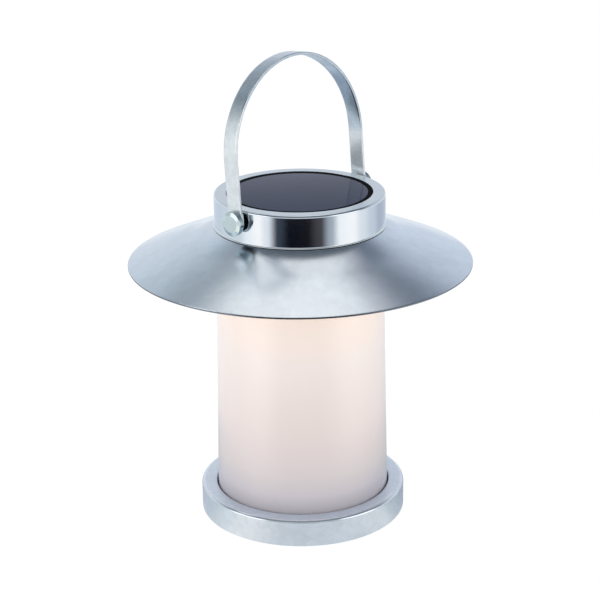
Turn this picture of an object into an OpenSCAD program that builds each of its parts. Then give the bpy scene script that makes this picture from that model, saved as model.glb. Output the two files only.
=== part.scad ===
// Solar lantern of galvanised sheet steel: a round base pan, an opal diffuser sleeve, a wide
// spun brim, a collar with a solar panel in its top and a flat bail handle on two large screws.
// Sizes are in millimetres. +Z is up, the handle turns about X, and the origin is the middle of
// the base on the floor.

/* [Base] */
// Diameter of the base pan
base_d = 143; // [138:1:170]
// Height of the pan's top ring above the floor
base_h = 20.2; // [16:0.2:40]
// Sheet thickness of the pan
base_sheet = 1; // [0.6:0.1:1.2]
// Outer radius of the fold between the pan's top ring and its side
base_fold_r = 2; // [1.5:0.1:4]
// Gap between the pan's opening and the diffuser
base_gap = 0.75; // [0.4:0.05:1.5]
// Length of the lip turned down round the opening
base_lip = 4; // [2:0.5:8]
// Width of the hem that is rolled in under the base plate
base_hem = 3; // [2:0.5:5]
// Thickness of the base plate
base_plate_t = 1.2; // [0.8:0.1:2]
// Diameter of a foot pad
foot_d = 14; // [8:1:18]
// Height of a foot pad
foot_h = 1.7; // [1.7:0.1:4]
// Number of foot pads
foot_count = 4; // [3:1:6]

/* [Diffuser] */
// Outer diameter of the diffuser at its foot
diffuser_d = 120.4; // [116:0.2:126]
// Length of the diffuser
diffuser_h = 202.2; // [120:0.2:260]
// Wall of the diffuser
diffuser_wall = 2.4; // [1.6:0.1:3]
// Draft angle of the moulded sleeve, wide end down
diffuser_draft = 1.02; // [0:0.01:1.3]
// Diameter of a screw boss inside the diffuser's foot
boss_d = 8; // [6.5:0.5:10]
// Height of a screw boss
boss_h = 12; // [10:1:16]

/* [Brim] */
// Diameter of the brim's rim
brim_d = 235; // [200:1:280]
// Drop of the brim from the collar's radius to the rim
brim_drop = 25.3; // [12:0.1:40]
// Bulge of the brim's slope between the collar and the rim
brim_crown = 0.92; // [0.3:0.02:3]
// Sheet thickness of the brim
brim_sheet = 1; // [0.6:0.1:1.4]

/* [Collar] */
// Diameter of the collar
collar_d = 116; // [112:1:130]
// Height of the collar
collar_h = 22.1; // [21:0.1:30]
// Sheet thickness of the collar
collar_sheet = 1; // [0.6:0.1:1.2]
// Width of the collar's top flange
collar_flange_w = 8.4; // [7:0.1:9]
// Outer radius of the fold between the collar's side and its flange
collar_fold_r = 1.6; // [1.4:0.1:3]
// Outer radius of the curl along the collar's lower edge
collar_curl_r = 1.4; // [1.3:0.1:2.5]

/* [Handle] */
// Width of the handle's strap
strap_w = 13.1; // [10:0.1:16]
// Thickness of the strap
strap_t = 2; // [1.2:0.1:3]
// Straight length of each leg, from the pivot to the arch
strap_leg = 39.5; // [20:0.5:70]
// Lean of the handle at rest, towards +Y
handle_lean = 4.7; // [-20:0.1:20]

/* [Pivot] */
// Height of the pivot above the collar's lower edge
pivot_rise = 14.2; // [12:0.1:15]
// Diameter of a pivot screw's head
pivot_head_d = 16.4; // [12:0.2:18]
// Thickness of a pivot screw's head
pivot_head_t = 4.2; // [3:0.1:6]
// Chamfer round a pivot screw's head
pivot_head_chamfer = 1.2; // [0.4:0.1:2]
// Diameter of the shoulder that the strap turns on
pivot_shoulder_d = 6; // [5:0.1:8]
// Thread diameter of a pivot screw
pivot_thread_d = 4; // [3:0.5:5]
// Diameter of a spacer between the collar and the strap
spacer_d = 13; // [12:0.5:18]
// Thickness of a spacer
spacer_t = 1.9; // [1:0.1:4]
// Width of a pivot nut across its flats
nut_w = 7; // [7:0.5:9]
// Thickness of a pivot nut
nut_t = 3.2; // [2.4:0.1:4]
// Thickness of a lock washer under a pivot nut
lock_washer_t = 0.8; // [0.5:0.1:1.2]
// Width of a bracket that joins the collar to the brim
bracket_w = 12; // [10:1:14]
// Sheet thickness of a bracket
bracket_t = 1.2; // [0.8:0.1:1.6]
// Diameter of a bracket's rivet
rivet_d = 3.2; // [2.4:0.1:4]

/* [Solar panel] */
// Thickness of the panel's glass laminate
panel_t = 2.6; // [1.6:0.1:3.2]
// Width of the black bezel round the panel
panel_bezel_w = 2.8; // [2:0.1:5]
// Thickness of the gasket under the collar's flange
gasket_t = 1; // [0.6:0.1:1.6]
// Wall of the panel housing
housing_wall = 1.8; // [1.4:0.1:2.4]

/* [Lamp module] */
// Wall of the lamp module
module_wall = 2.2; // [1.6:0.1:3]
// Floor of the lamp module
module_floor = 2.4; // [2.2:0.1:4]
// Depth of the lamp module below its flange
module_depth = 16.4; // [16:0.1:24]
// Thickness of the lamp module's flange
module_flange_t = 2.2; // [1.6:0.1:3]
// Height of the spigot that plugs into the diffuser
spigot_h = 8.4; // [7:0.1:14]
// Wall of the spigot
spigot_wall = 3.4; // [3.2:0.1:5]
// Section diameter of the seal ring round the spigot
seal_d = 2.2; // [1.6:0.1:2.4]
// Number of ribs between the spigot and the bowl
rib_count = 12; // [6:1:18]

/* [Battery] */
// Diameter of the cell
cell_d = 14.2; // [13.5:0.1:14.5]
// Length of the cell over its nub
cell_l = 50; // [49.2:0.1:50.5]
// Length of the contact spring with the cell in place
spring_l = 5; // [4:0.1:7]
// Wall of the battery box
box_wall = 1.5; // [1.2:0.1:2]
// Thickness of the battery door
door_t = 1.6; // [1.2:0.1:1.8]

/* [Electronics] */
// Length of the circuit board, along X
board_l = 46; // [40:1:50]
// Width of the circuit board, along Y
board_w = 33; // [30:1:36]
// Thickness of the circuit board
board_t = 1.6; // [1:0.2:2]
// Height of the posts under the circuit board
post_h = 4; // [3.6:0.1:6]
// Diameter of the light-emitting diode
led_d = 5; // [3:1:8]
// Travel of the switch
switch_travel = 4; // [2:0.5:5]
// Diameter of a lead
lead_d = 1.4; // [1:0.1:1.8]

/* [Fasteners] */
// Thread diameter of the small screws
screw_d = 3; // [2:0.5:3.5]
// Head diameter of the small screws
screw_head_d = 5.6; // [4.5:0.1:6.4]
// Head height of the small screws
screw_head_h = 1.4; // [1:0.1:1.5]

/* [Clearances] */
// Gap between pieces that sit on each other
seat_gap = 0.05; // [0.02:0.01:0.3]
// Gap round a piece that slides into another
slip_gap = 0.3; // [0.15:0.05:0.5]
// Gap round a screw in its hole
hole_gap = 0.2; // [0.1:0.05:0.4]
// Gap round a screw in the plastic that it grips
thread_gap = 0.05; // [0.02:0.01:0.1]
// Radial play of the strap on a pivot screw's shoulder
pivot_play = 0.06; // [0.02:0.01:0.1]

/* [Hidden] */

$fn = 120;
// How far a cut runs past the face it opens
over = 1;
// Segments of the large turned forms
round_fn = 240;
// Segments of the long arc in the brim's slope
slope_fn = 1440;

// Finishes, as the lantern shows them
zinc = "#c4cdd4";
bright_zinc = "#d5dde3";
opal = "#f3ece6";
black_plastic = "#15171c";
white_plastic = "#eceae4";
steel = "#b4b9bd";

// Base: heights and radii
base_r = base_d / 2;
plate_z = foot_h;
plate_top = plate_z + base_plate_t;
hem_z = plate_z - base_sheet - seat_gap;
hem_fold_r = 1.6 * base_sheet;
plate_r = base_r - hem_fold_r - hole_gap;
hem_in_r = plate_r - base_hem;
lip_fold_r = 1.5 * base_sheet;
screw_count = 3;
screw_turn = 90;
base_screw_grip = 0.75 * boss_h;
foot_margin = 1;
foot_turn = 45;

// Diffuser: outer and inner radius at a height
function diffuser_r(z) = diffuser_d / 2 - (z - plate_top) * tan(diffuser_draft);
function diffuser_in_r(z) = diffuser_r(z) - diffuser_wall;
diffuser_top = plate_top + diffuser_h;
pan_hole_r = diffuser_r(base_h) + base_gap;
foot_top = plate_top + 1.25 * boss_h;
boss_lift = 0.4;
boss_c = diffuser_in_r(foot_top) - boss_d / 2 + diffuser_wall / 3;
foot_c = hem_in_r - foot_d / 2 - foot_margin;

// Lamp module: heights, and the radii that it takes from the diffuser's mouth
flange_z = diffuser_top + seat_gap;
flange_top = flange_z + module_flange_t;
flange_r = diffuser_r(diffuser_top) + slip_gap;
spigot_r = diffuser_in_r(diffuser_top) - slip_gap;
module_z = flange_z - module_depth;
floor_top = module_z + module_floor;
seal_z = flange_z - spigot_h / 2;
seal_c = diffuser_in_r(diffuser_top) - slip_gap / 2 - seal_d / 2;

// Circuit board: the diode sits on the lantern's axis, near the board's back edge
board_edge = 6.5;
board_z = floor_top + post_h;
board_top = board_z + board_t;
board_front = board_edge - board_w;
post_inset = 3.2;
post_r = 2.8;
board_screw_l = board_t + post_h - over;

// Parts on the board: where their middles stand, and their sizes
chip_at = [-8.5, -17.5];
chip_size = [7, 5, 1.6];
coil_at = [12, -19];
coil_d = 7;
coil_h = 4.5;
capacitor_at = [-14, -5];
capacitor_d = 5;
capacitor_h = 6;

// Battery box behind the board
contact_t = 0.4;
contact_inset = 1.5;
contact_w = cell_d - 2 * contact_inset;
cell_r = cell_d / 2;
cell_gap = 0.4;
box_in_l = cell_l + spring_l + 2 * contact_t + 4 * seat_gap;
box_l = box_in_l + 2 * box_wall;
box_y0 = board_edge + slip_gap + box_wall;
cell_y = box_y0 + cell_gap + cell_r;
box_y1 = cell_y + cell_r + cell_gap;
cell_z = module_z + door_t + cell_gap + cell_r;
box_roof = cell_z + cell_r + cell_gap;
plus_x = box_in_l / 2;
minus_x = -box_in_l / 2;
cell_x1 = plus_x - contact_t - 2 * seat_gap;
cell_x0 = cell_x1 - cell_l;
nub_l = 1.2;
nub_d = 5.4;
cell_edge = 0.8;
lead_hole_z = cell_z + cell_r - 2 * lead_d;

// Door: an ear at the plus end takes its screw
ear_margin = 0.4;
ear_merge = 0.3;
ear_r = screw_head_d / 2 + ear_margin;
ear_x = box_l / 2 + ear_r - ear_merge;
door_lap = 0.8;
door_r = 1.5;
ear_boss_h = 6;
door_screw_l = ear_boss_h - over;
groove_count = 5;
groove_pitch = 2.4;
groove_depth = 0.6;
groove_start = 4;

// Bowl of the module: just wide enough for the box and the door's boss
box_corner = norm([box_l / 2, box_y1 + box_wall]);
bowl_gap = 1.2;
bowl_in_r = max(box_corner, norm([ear_x, cell_y]) + ear_r) + bowl_gap;
bowl_r = bowl_in_r + module_wall;
pillar_wall = 1.4;
pillar_r = screw_head_d / 2 + pillar_wall;
module_screw_c = bowl_in_r - pillar_r / 2;

// Brim: a long arc through the rim and the collar's radius, and a flat ring inside the collar
brim_r = brim_d / 2;
collar_r = collar_d / 2;
neck_inset = 5;
neck_r = collar_r - neck_inset;
ring_in_r = module_screw_c - pillar_r;
slope_run = brim_r - collar_r;
slope_l = norm([slope_run, brim_drop]);
slope_r = slope_l * slope_l / (8 * brim_crown) + brim_crown / 2;
slope_c = [
    (brim_r + collar_r) / 2 - (slope_r - brim_crown) * brim_drop / slope_l,
    brim_drop / 2 - (slope_r - brim_crown) * slope_run / slope_l
];
function brim_rise(r) = slope_c[1] + sqrt(slope_r * slope_r - pow(r - slope_c[0], 2));
function brim_under_rise(r) =
    slope_c[1] + sqrt(pow(slope_r - brim_sheet, 2) - pow(r - slope_c[0], 2));
// The slope clears the module's flange, and so do the rivets' tails under the ring
brim_clear = 0.45;
rivet_tail_h = 0.7;
ring_drop = brim_sheet + seat_gap + rivet_tail_h;
rim_z = flange_top + brim_clear
    + max(-brim_under_rise(flange_r), ring_drop - brim_rise(neck_r));
ring_top = rim_z + brim_rise(neck_r);
ring_under = ring_top - brim_sheet;

// Collar on the brim
collar_z = rim_z + brim_rise(collar_r - collar_curl_r) + seat_gap;
collar_top = collar_z + collar_h;
collar_in_r = collar_r - collar_sheet;
opening_r = collar_r - collar_flange_w;
pivot_z = collar_z + pivot_rise;
thread_hole_d = pivot_thread_d + 2 * hole_gap;

// Pivot stack along +X: spacer, strap, screw head outside; bracket, washer, nut inside
spacer_in = collar_r + seat_gap;
spacer_out = spacer_in + spacer_t;
strap_in = spacer_out + hole_gap;
strap_out = strap_in + strap_t;
head_in = strap_out + hole_gap;
arch_r = strap_in + strap_t / 2;
bracket_out = sqrt(pow(collar_in_r, 2) - pow(bracket_w / 2, 2)) - seat_gap;
bracket_in = bracket_out - bracket_t;
washer_in = bracket_in - lock_washer_t - seat_gap;
nut_in = washer_in - nut_t - seat_gap;
thread_end = 1;
nut_corner_r = nut_w / 2 / cos(30);
lock_washer_w = 1.6;
lock_washer_d = pivot_thread_d + 2 * lock_washer_w;
notch_gap = 0.5;

// Panel housing under the collar's flange
panel_sink = 0.2;
rim_top = collar_top - panel_sink;
rim_r = opening_r - slip_gap;
panel_r = rim_r - panel_bezel_w;
panel_top = rim_top - panel_sink;
panel_z = panel_top - panel_t;
recess_z = panel_z - seat_gap;
deck_z = recess_z - housing_wall;
gasket_top = collar_top - collar_sheet - seat_gap;
shoulder_top = gasket_top - gasket_t - seat_gap;
shoulder_t = 1.6;
shoulder_w = 3.2;
shoulder_r = opening_r + shoulder_w;
can_r = bowl_r + bowl_gap;
can_z = ring_top + seat_gap;
wire_hole = [0, -8];
wire_hole_d = 8;

// Bracket's foot on the brim's ring, and its rivet
bracket_z = ring_top + seat_gap;
bracket_end = can_r + slip_gap;
bracket_bend_r = 2 * bracket_t;
rivet_x = (bracket_end + neck_r) / 2;
rivet_head_h = 0.9;
rivet_head_d = 1.8 * rivet_d;
rivet_tail_d = 1.5 * rivet_d;

// Screws through the lamp module and the brim's ring into the housing
pillar_top = ring_under - seat_gap;
module_screw_seat = flange_z;
module_screw_grip = 8;
module_screw_l = ring_top - module_screw_seat + module_screw_grip;

// Switch on the board's lower face
switch_y = -17;
switch_ends = 7;
switch_w = 6.4;
switch_lift = 0.2;
switch_size = [switch_travel + switch_ends, switch_w, post_h - switch_lift];
knob_l = 4;
knob_w = 2.6;
knob_proud = 1.8;
knob_gap = 0.2;
knob_in = 2;
slot_l = knob_l + switch_travel + 2 * knob_gap;
slot_w = knob_w + 2 * knob_gap;

// Diode
led_flange_w = 0.45;
led_flange_d = led_d + 2 * led_flange_w;
led_flange_h = 1;
led_proud = 1.9;

// Leads: points along each route, red and black a mirror pair; they end straight and square
lead_sides = 8;
lead_steps = 3;
lead_end = board_top + seat_gap;
lead_straight = 2;
lead_stub = 1.2;
lead_bow = 4;
panel_wire = [1.8, -8];
panel_pad = [6, -12];
battery_pad = [19, -3];
function over_point(p, z) = [p[0], p[1], z];
panel_lead = [
    over_point(panel_wire, recess_z),
    over_point(panel_wire, recess_z - lead_straight),
    over_point(panel_wire, recess_z - 2 * lead_straight),
    over_point((panel_wire + panel_pad) / 2, (deck_z + board_top) / 2),
    over_point(panel_pad, lead_end + 2 * lead_straight),
    over_point(panel_pad, lead_end + lead_straight),
    over_point(panel_pad, lead_end)
];
battery_lead = [
    [plus_x, cell_y, lead_hole_z],
    [plus_x + lead_stub, cell_y, lead_hole_z],
    [plus_x + 2 * lead_stub, cell_y, lead_hole_z],
    [plus_x + lead_bow, cell_y - lead_bow, lead_hole_z],
    [plus_x + lead_bow, box_y0 - lead_bow, lead_hole_z],
    over_point(battery_pad + [lead_bow, lead_bow], lead_end + 3 * lead_straight),
    over_point(battery_pad, lead_end + 2 * lead_straight),
    over_point(battery_pad, lead_end + lead_straight),
    over_point(battery_pad, lead_end)
];

// Repeats its children round the axis
module around(count, first = 0) {
    for (i = [0 : count - 1]) {
        rotate(first + i * 360 / count) children();
    }
}

// Draws its children on +X and again on -X
module both_sides() {
    children();
    mirror([1, 0, 0]) children();
}

// Puts its children on the pivot axis, pointing out along +X from x
module on_pivot(x) {
    translate([x, 0, pivot_z]) rotate([0, 90, 0]) children();
}

// Section of a quarter bend in sheet, in the first quadrant
module bend(r, sheet) {
    intersection() {
        difference() {
            circle(r);
            circle(r - sheet);
        }
        square(r);
    }
}

// Flat outline with round corners
module round_rect(size, r) {
    translate([r, 0]) square([size[0] - 2 * r, size[1]]);
    translate([0, r]) square([size[0], size[1] - 2 * r]);
    for (x = [r, size[0] - r], y = [r, size[1] - r]) {
        translate([x, y]) circle(r);
    }
}

// Pan-head screw on the axis: the head below z = 0, the shank above
module pan_screw(length) {
    crown = screw_head_h / 3;
    translate([0, 0, crown - screw_head_h]) cylinder(d = screw_head_d, h = screw_head_h - crown);
    translate([0, 0, -screw_head_h]) {
        cylinder(d1 = screw_head_d - 2 * crown, d2 = screw_head_d, h = crown);
    }
    cylinder(d = screw_d, h = length);
}

// Smooth points through a route
function spline(p, i, t) =
    let (a = p[max(i - 1, 0)], b = p[i], c = p[i + 1], d = p[min(i + 2, len(p) - 1)])
    0.5 * (2 * b + (c - a) * t + (2 * a - 5 * b + 4 * c - d) * t * t
        + (3 * b - a - 3 * c + d) * t * t * t);
function smooth(p, steps) = concat(
    [for (i = [0 : len(p) - 2], k = [0 : steps - 1]) spline(p, i, k / steps)],
    [p[len(p) - 1]]);
function unit(v) = v / norm(v);
function across(n, t) = unit(n - (n * t) * t);
function tangents(p) =
    [for (i = [0 : len(p) - 1]) unit(p[min(i + 1, len(p) - 1)] - p[max(i - 1, 0)])];
function normals(t, first) =
    [for (i = 0, n = across(first, t[0]); i < len(t);
        i = i + 1, n = i < len(t) ? across(n, t[i]) : n) n];

// Round tube swept along points
module tube(points, r, sides, first) {
    t = tangents(points);
    n = normals(t, first);
    last = len(points) - 1;
    rings = [
        for (i = [0 : last], k = [0 : sides - 1])
            points[i] + r * (cos(360 * k / sides) * n[i] + sin(360 * k / sides) * cross(t[i], n[i]))
    ];
    walls = [
        for (i = [0 : last - 1], k = [0 : sides - 1])
            let (a = i * sides + k, b = i * sides + (k + 1) % sides)
            each [[a, a + sides, b], [b, a + sides, b + sides]]
    ];
    caps = [
        for (k = [1 : sides - 2])
            each [[0, k, k + 1], [last * sides, last * sides + k + 1, last * sides + k]]
    ];
    polyhedron(rings, concat(walls, caps));
}

// Section of the pressed base pan: hem, side, top ring and turned-down lip
module base_pan_profile() {
    translate([hem_in_r, hem_z]) square([base_r - hem_fold_r - hem_in_r, base_sheet]);
    translate([base_r - hem_fold_r, hem_z + hem_fold_r]) {
        rotate(-90) bend(hem_fold_r, base_sheet);
    }
    translate([base_r - base_sheet, hem_z + hem_fold_r]) {
        square([base_sheet, base_h - base_fold_r - hem_z - hem_fold_r]);
    }
    translate([base_r - base_fold_r, base_h - base_fold_r]) bend(base_fold_r, base_sheet);
    translate([pan_hole_r + lip_fold_r, base_h - base_sheet]) {
        square([base_r - base_fold_r - pan_hole_r - lip_fold_r, base_sheet]);
    }
    translate([pan_hole_r + lip_fold_r, base_h - lip_fold_r]) {
        rotate(90) bend(lip_fold_r, base_sheet);
    }
    translate([pan_hole_r, base_h - base_lip]) square([base_sheet, base_lip - lip_fold_r]);
}

module base_pan() {
    color(zinc) rotate_extrude($fn = round_fn) base_pan_profile();
}

// Flat steel disc crimped into the pan; it carries the diffuser, the feet and the screws
module base_plate() {
    color(zinc) difference() {
        translate([0, 0, plate_z]) cylinder(r = plate_r, h = base_plate_t, $fn = round_fn);
        around(screw_count, screw_turn) {
            translate([boss_c, 0, 0]) cylinder(d = screw_d + 2 * hole_gap, h = 2 * plate_top);
        }
    }
}

module base_screws() {
    color(steel) around(screw_count, screw_turn) {
        translate([boss_c, 0, plate_z - seat_gap]) pan_screw(base_plate_t + base_screw_grip);
    }
}

// Rubber pads with a chamfered edge
module base_feet() {
    edge = foot_h / 4;
    color(black_plastic) around(foot_count, foot_turn) translate([foot_c, 0, 0]) {
        cylinder(d1 = foot_d - 2 * edge, d2 = foot_d, h = edge);
        translate([0, 0, edge]) cylinder(d = foot_d, h = foot_h - edge);
    }
}

// Moulded opal sleeve, open at both ends, with screw bosses inside its foot, which is straight
module diffuser() {
    z0 = plate_top;
    z1 = diffuser_top;
    color(opal) difference() {
        union() {
            rotate_extrude($fn = round_fn) polygon([
                [diffuser_in_r(foot_top), z0], [diffuser_r(z0), z0], [diffuser_r(z1), z1],
                [diffuser_in_r(z1), z1], [diffuser_in_r(foot_top), foot_top]
            ]);
            around(screw_count, screw_turn) {
                translate([boss_c, 0, z0 + boss_lift]) cylinder(d = boss_d, h = boss_h - boss_lift);
            }
        }
        around(screw_count, screw_turn) translate([boss_c, 0, z0 - over]) {
            cylinder(d = screw_d + 2 * thread_gap, h = boss_h);
        }
    }
}

// Section of the spun brim: the crowned slope and the flat ring inside the collar
module brim_profile() {
    intersection() {
        translate([slope_c[0], rim_z + slope_c[1]]) difference() {
            circle(slope_r, $fn = slope_fn);
            circle(slope_r - brim_sheet, $fn = slope_fn);
        }
        translate([neck_r, 0]) square([brim_r - neck_r, 2 * ring_top]);
    }
    translate([ring_in_r, ring_under]) square([neck_r - ring_in_r, brim_sheet]);
}

module brim() {
    color(zinc) difference() {
        rotate_extrude($fn = round_fn) brim_profile();
        around(screw_count, screw_turn) {
            translate([module_screw_c, 0, 0]) cylinder(d = screw_d + 2 * hole_gap, h = 2 * ring_top);
        }
        both_sides() translate([rivet_x, 0, 0]) {
            cylinder(d = rivet_d + 2 * thread_gap, h = 2 * ring_top);
        }
    }
}

// Section of the collar: curled lower edge, side and top flange
module collar_profile() {
    translate([collar_r - collar_curl_r, collar_z + collar_curl_r]) {
        rotate(-90) bend(collar_curl_r, collar_sheet);
    }
    translate([collar_in_r, collar_z + collar_curl_r]) {
        square([collar_sheet, collar_h - collar_curl_r - collar_fold_r]);
    }
    translate([collar_r - collar_fold_r, collar_top - collar_fold_r]) {
        bend(collar_fold_r, collar_sheet);
    }
    translate([opening_r, collar_top - collar_sheet]) {
        square([collar_r - collar_fold_r - opening_r, collar_sheet]);
    }
}

module collar() {
    color(bright_zinc) difference() {
        rotate_extrude($fn = round_fn) collar_profile();
        both_sides() on_pivot(collar_in_r / 2) cylinder(d = thread_hole_d, h = collar_r);
    }
}

// Front view of the bail: two straight legs and a half-round arch
module bail_outline(r) {
    circle(r, $fn = round_fn);
    translate([-r, -strap_leg - strap_w]) square([2 * r, strap_leg + strap_w]);
}

// Flat strap bent into a bail, with round ends that turn on the pivot screws
module handle_strap() {
    reach = 2 * strap_out;
    color(zinc) translate([0, 0, pivot_z]) rotate([-handle_lean, 0, 0]) difference() {
        intersection() {
            translate([0, 0, strap_leg]) rotate([90, 0, 0]) {
                linear_extrude(strap_w, center = true) difference() {
                    bail_outline(strap_out);
                    bail_outline(strap_in);
                }
            }
            rotate([90, 0, 90]) linear_extrude(reach, center = true) {
                circle(d = strap_w);
                translate([-strap_w / 2, 0]) square([strap_w, strap_leg + strap_out]);
            }
        }
        rotate([0, 90, 0]) {
            cylinder(d = pivot_shoulder_d + 2 * pivot_play, h = reach, center = true);
        }
    }
}

// Turned screws: a smooth chamfered head, the strap's shoulder and a threaded shank
module pivot_screws() {
    barrel = pivot_head_t - pivot_head_chamfer;
    shank_x = nut_in - thread_end;
    color(bright_zinc) both_sides() {
        on_pivot(head_in) cylinder(d = pivot_head_d, h = barrel);
        on_pivot(head_in + barrel) {
            cylinder(d1 = pivot_head_d, d2 = pivot_head_d - 2 * pivot_head_chamfer,
                h = pivot_head_chamfer);
        }
        on_pivot(spacer_out + seat_gap) {
            cylinder(d = pivot_shoulder_d, h = head_in - spacer_out - seat_gap);
        }
        on_pivot(shank_x) cylinder(d = pivot_thread_d, h = head_in - shank_x);
    }
}

module pivot_spacers() {
    color(black_plastic) both_sides() on_pivot(spacer_in) difference() {
        cylinder(d = spacer_d, h = spacer_t);
        translate([0, 0, -spacer_t]) cylinder(d = thread_hole_d, h = 3 * spacer_t);
    }
}

module pivot_washers() {
    color(steel) both_sides() on_pivot(washer_in) difference() {
        cylinder(d = lock_washer_d, h = lock_washer_t);
        translate([0, 0, -lock_washer_t]) cylinder(d = thread_hole_d, h = 3 * lock_washer_t);
    }
}

module pivot_nuts() {
    color(steel) both_sides() on_pivot(nut_in) difference() {
        cylinder(r = nut_corner_r, h = nut_t, $fn = 6);
        translate([0, 0, -nut_t]) cylinder(d = pivot_thread_d + 2 * thread_gap, h = 3 * nut_t);
    }
}

// Side view of a bracket: a leg up the collar's wall, a bend and a foot on the brim's ring
module bracket_profile() {
    r = bracket_bend_r;
    leg_top = pivot_z + bracket_w / 3;
    translate([bracket_in, bracket_z + r]) square([bracket_t, leg_top - bracket_z - r]);
    translate([bracket_out - r, bracket_z + r]) rotate(-90) bend(r, bracket_t);
    translate([bracket_end, bracket_z]) square([bracket_out - r - bracket_end, bracket_t]);
}

module pivot_brackets() {
    color(steel) both_sides() difference() {
        rotate([90, 0, 0]) linear_extrude(bracket_w, center = true) bracket_profile();
        on_pivot(bracket_in - over) cylinder(d = thread_hole_d, h = bracket_t + 2 * over);
        translate([rivet_x, 0, ring_under]) {
            cylinder(d = rivet_d + 2 * thread_gap, h = 4 * bracket_t);
        }
    }
}

module bracket_rivets() {
    head_z = bracket_z + bracket_t + seat_gap;
    tail_z = ring_under - seat_gap - rivet_tail_h;
    color(steel) both_sides() translate([rivet_x, 0, 0]) {
        translate([0, 0, tail_z]) cylinder(d = rivet_tail_d, h = rivet_tail_h);
        translate([0, 0, tail_z]) cylinder(d = rivet_d, h = head_z + rivet_head_h - tail_z);
        translate([0, 0, head_z]) {
            cylinder(d1 = rivet_head_d, d2 = rivet_d, h = rivet_head_h);
        }
    }
}

// Thin-film laminate, dark side up
module solar_panel() {
    color("#3d4258") translate([0, 0, panel_z]) {
        cylinder(r = panel_r - hole_gap, h = panel_t, $fn = round_fn);
    }
}

// Section of the panel housing: bezel, deck, shoulder and can
module panel_housing_profile() {
    difference() {
        translate([0, deck_z]) square([rim_r, rim_top - deck_z]);
        translate([-over, recess_z]) square([panel_r + over, rim_top - recess_z + over]);
    }
    translate([rim_r - housing_wall, shoulder_top - shoulder_t]) {
        square([shoulder_r - rim_r + housing_wall, shoulder_t]);
    }
    translate([can_r - housing_wall, can_z]) square([housing_wall, recess_z - can_z]);
}

// Moulded housing that holds the panel and carries the screw bosses
module panel_housing() {
    notch_w = 2 * (nut_corner_r + notch_gap);
    color(black_plastic) difference() {
        union() {
            rotate_extrude($fn = round_fn) panel_housing_profile();
            around(screw_count, screw_turn) translate([module_screw_c, 0, can_z]) {
                cylinder(r = pillar_r, h = recess_z - can_z);
            }
        }
        around(screw_count, screw_turn) translate([module_screw_c, 0, can_z - over]) {
            cylinder(d = screw_d + 2 * thread_gap, h = module_screw_l);
        }
        translate([wire_hole[0], wire_hole[1], deck_z - over]) {
            cylinder(d = wire_hole_d, h = housing_wall + 2 * over);
        }
        both_sides() translate([rim_r + hole_gap, -notch_w / 2, pivot_z - notch_w / 2]) {
            cube([shoulder_r, notch_w, notch_w]);
        }
    }
}

module panel_gasket() {
    color(black_plastic) translate([0, 0, gasket_top - gasket_t]) difference() {
        cylinder(r = shoulder_r, h = gasket_t, $fn = round_fn);
        translate([0, 0, -gasket_t]) cylinder(r = rim_r + hole_gap, h = 3 * gasket_t, $fn = round_fn);
    }
}

// Section of the lamp module: bowl, flange on the diffuser's rim, and grooved spigot
module lamp_module_profile() {
    groove_d = seal_d + hole_gap;
    translate([0, module_z]) square([bowl_r, module_floor]);
    translate([bowl_in_r, module_z]) square([module_wall, pillar_top - module_z]);
    translate([bowl_in_r, flange_z]) square([flange_r - bowl_in_r, module_flange_t]);
    difference() {
        translate([spigot_r - spigot_wall, flange_z - spigot_h]) square([spigot_wall, spigot_h]);
        translate([seal_c - groove_d / 2, seal_z - groove_d / 2]) square([spigot_wall, groove_d]);
    }
}

// Flat outline of the battery door, grown by gap all round
module door_outline(gap) {
    lap = door_lap + gap;
    translate([minus_x - lap, box_y0 - lap]) {
        round_rect([box_in_l + 2 * lap, box_y1 - box_y0 + 2 * lap], door_r);
    }
    translate([ear_x, cell_y]) circle(ear_r + gap);
    translate([plus_x, cell_y - ear_r - gap]) square([ear_x - plus_x, 2 * (ear_r + gap)]);
}

// Walls and roof of the battery box, and the boss for the door's screw
module battery_box() {
    translate([-box_l / 2, box_y0 - box_wall, module_z]) {
        cube([box_l, box_y1 - box_y0 + 2 * box_wall, box_roof + box_wall - module_z]);
    }
    translate([ear_x, cell_y, module_z + door_t]) cylinder(r = ear_r, h = ear_boss_h);
}

// Everything that is cut out for the cell, its leads and its door
module battery_cuts() {
    translate([minus_x, box_y0, module_z - over]) {
        cube([box_in_l, box_y1 - box_y0, box_roof - module_z + over]);
    }
    translate([0, 0, module_z - over]) {
        linear_extrude(door_t + seat_gap + over) door_outline(hole_gap);
    }
    translate([ear_x, cell_y, module_z]) {
        cylinder(d = screw_d + 2 * thread_gap, h = ear_boss_h);
    }
    translate([0, cell_y, lead_hole_z]) rotate([0, 90, 0]) {
        cylinder(d = lead_d + 2 * hole_gap, h = box_l + 2 * over, center = true);
    }
}

// Corners of the board, where its posts stand
module at_posts(sides) {
    for (x = sides, y = [board_front + post_inset, board_edge - post_inset]) {
        translate([x * (board_l / 2 - post_inset), y, 0]) children();
    }
}

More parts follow.
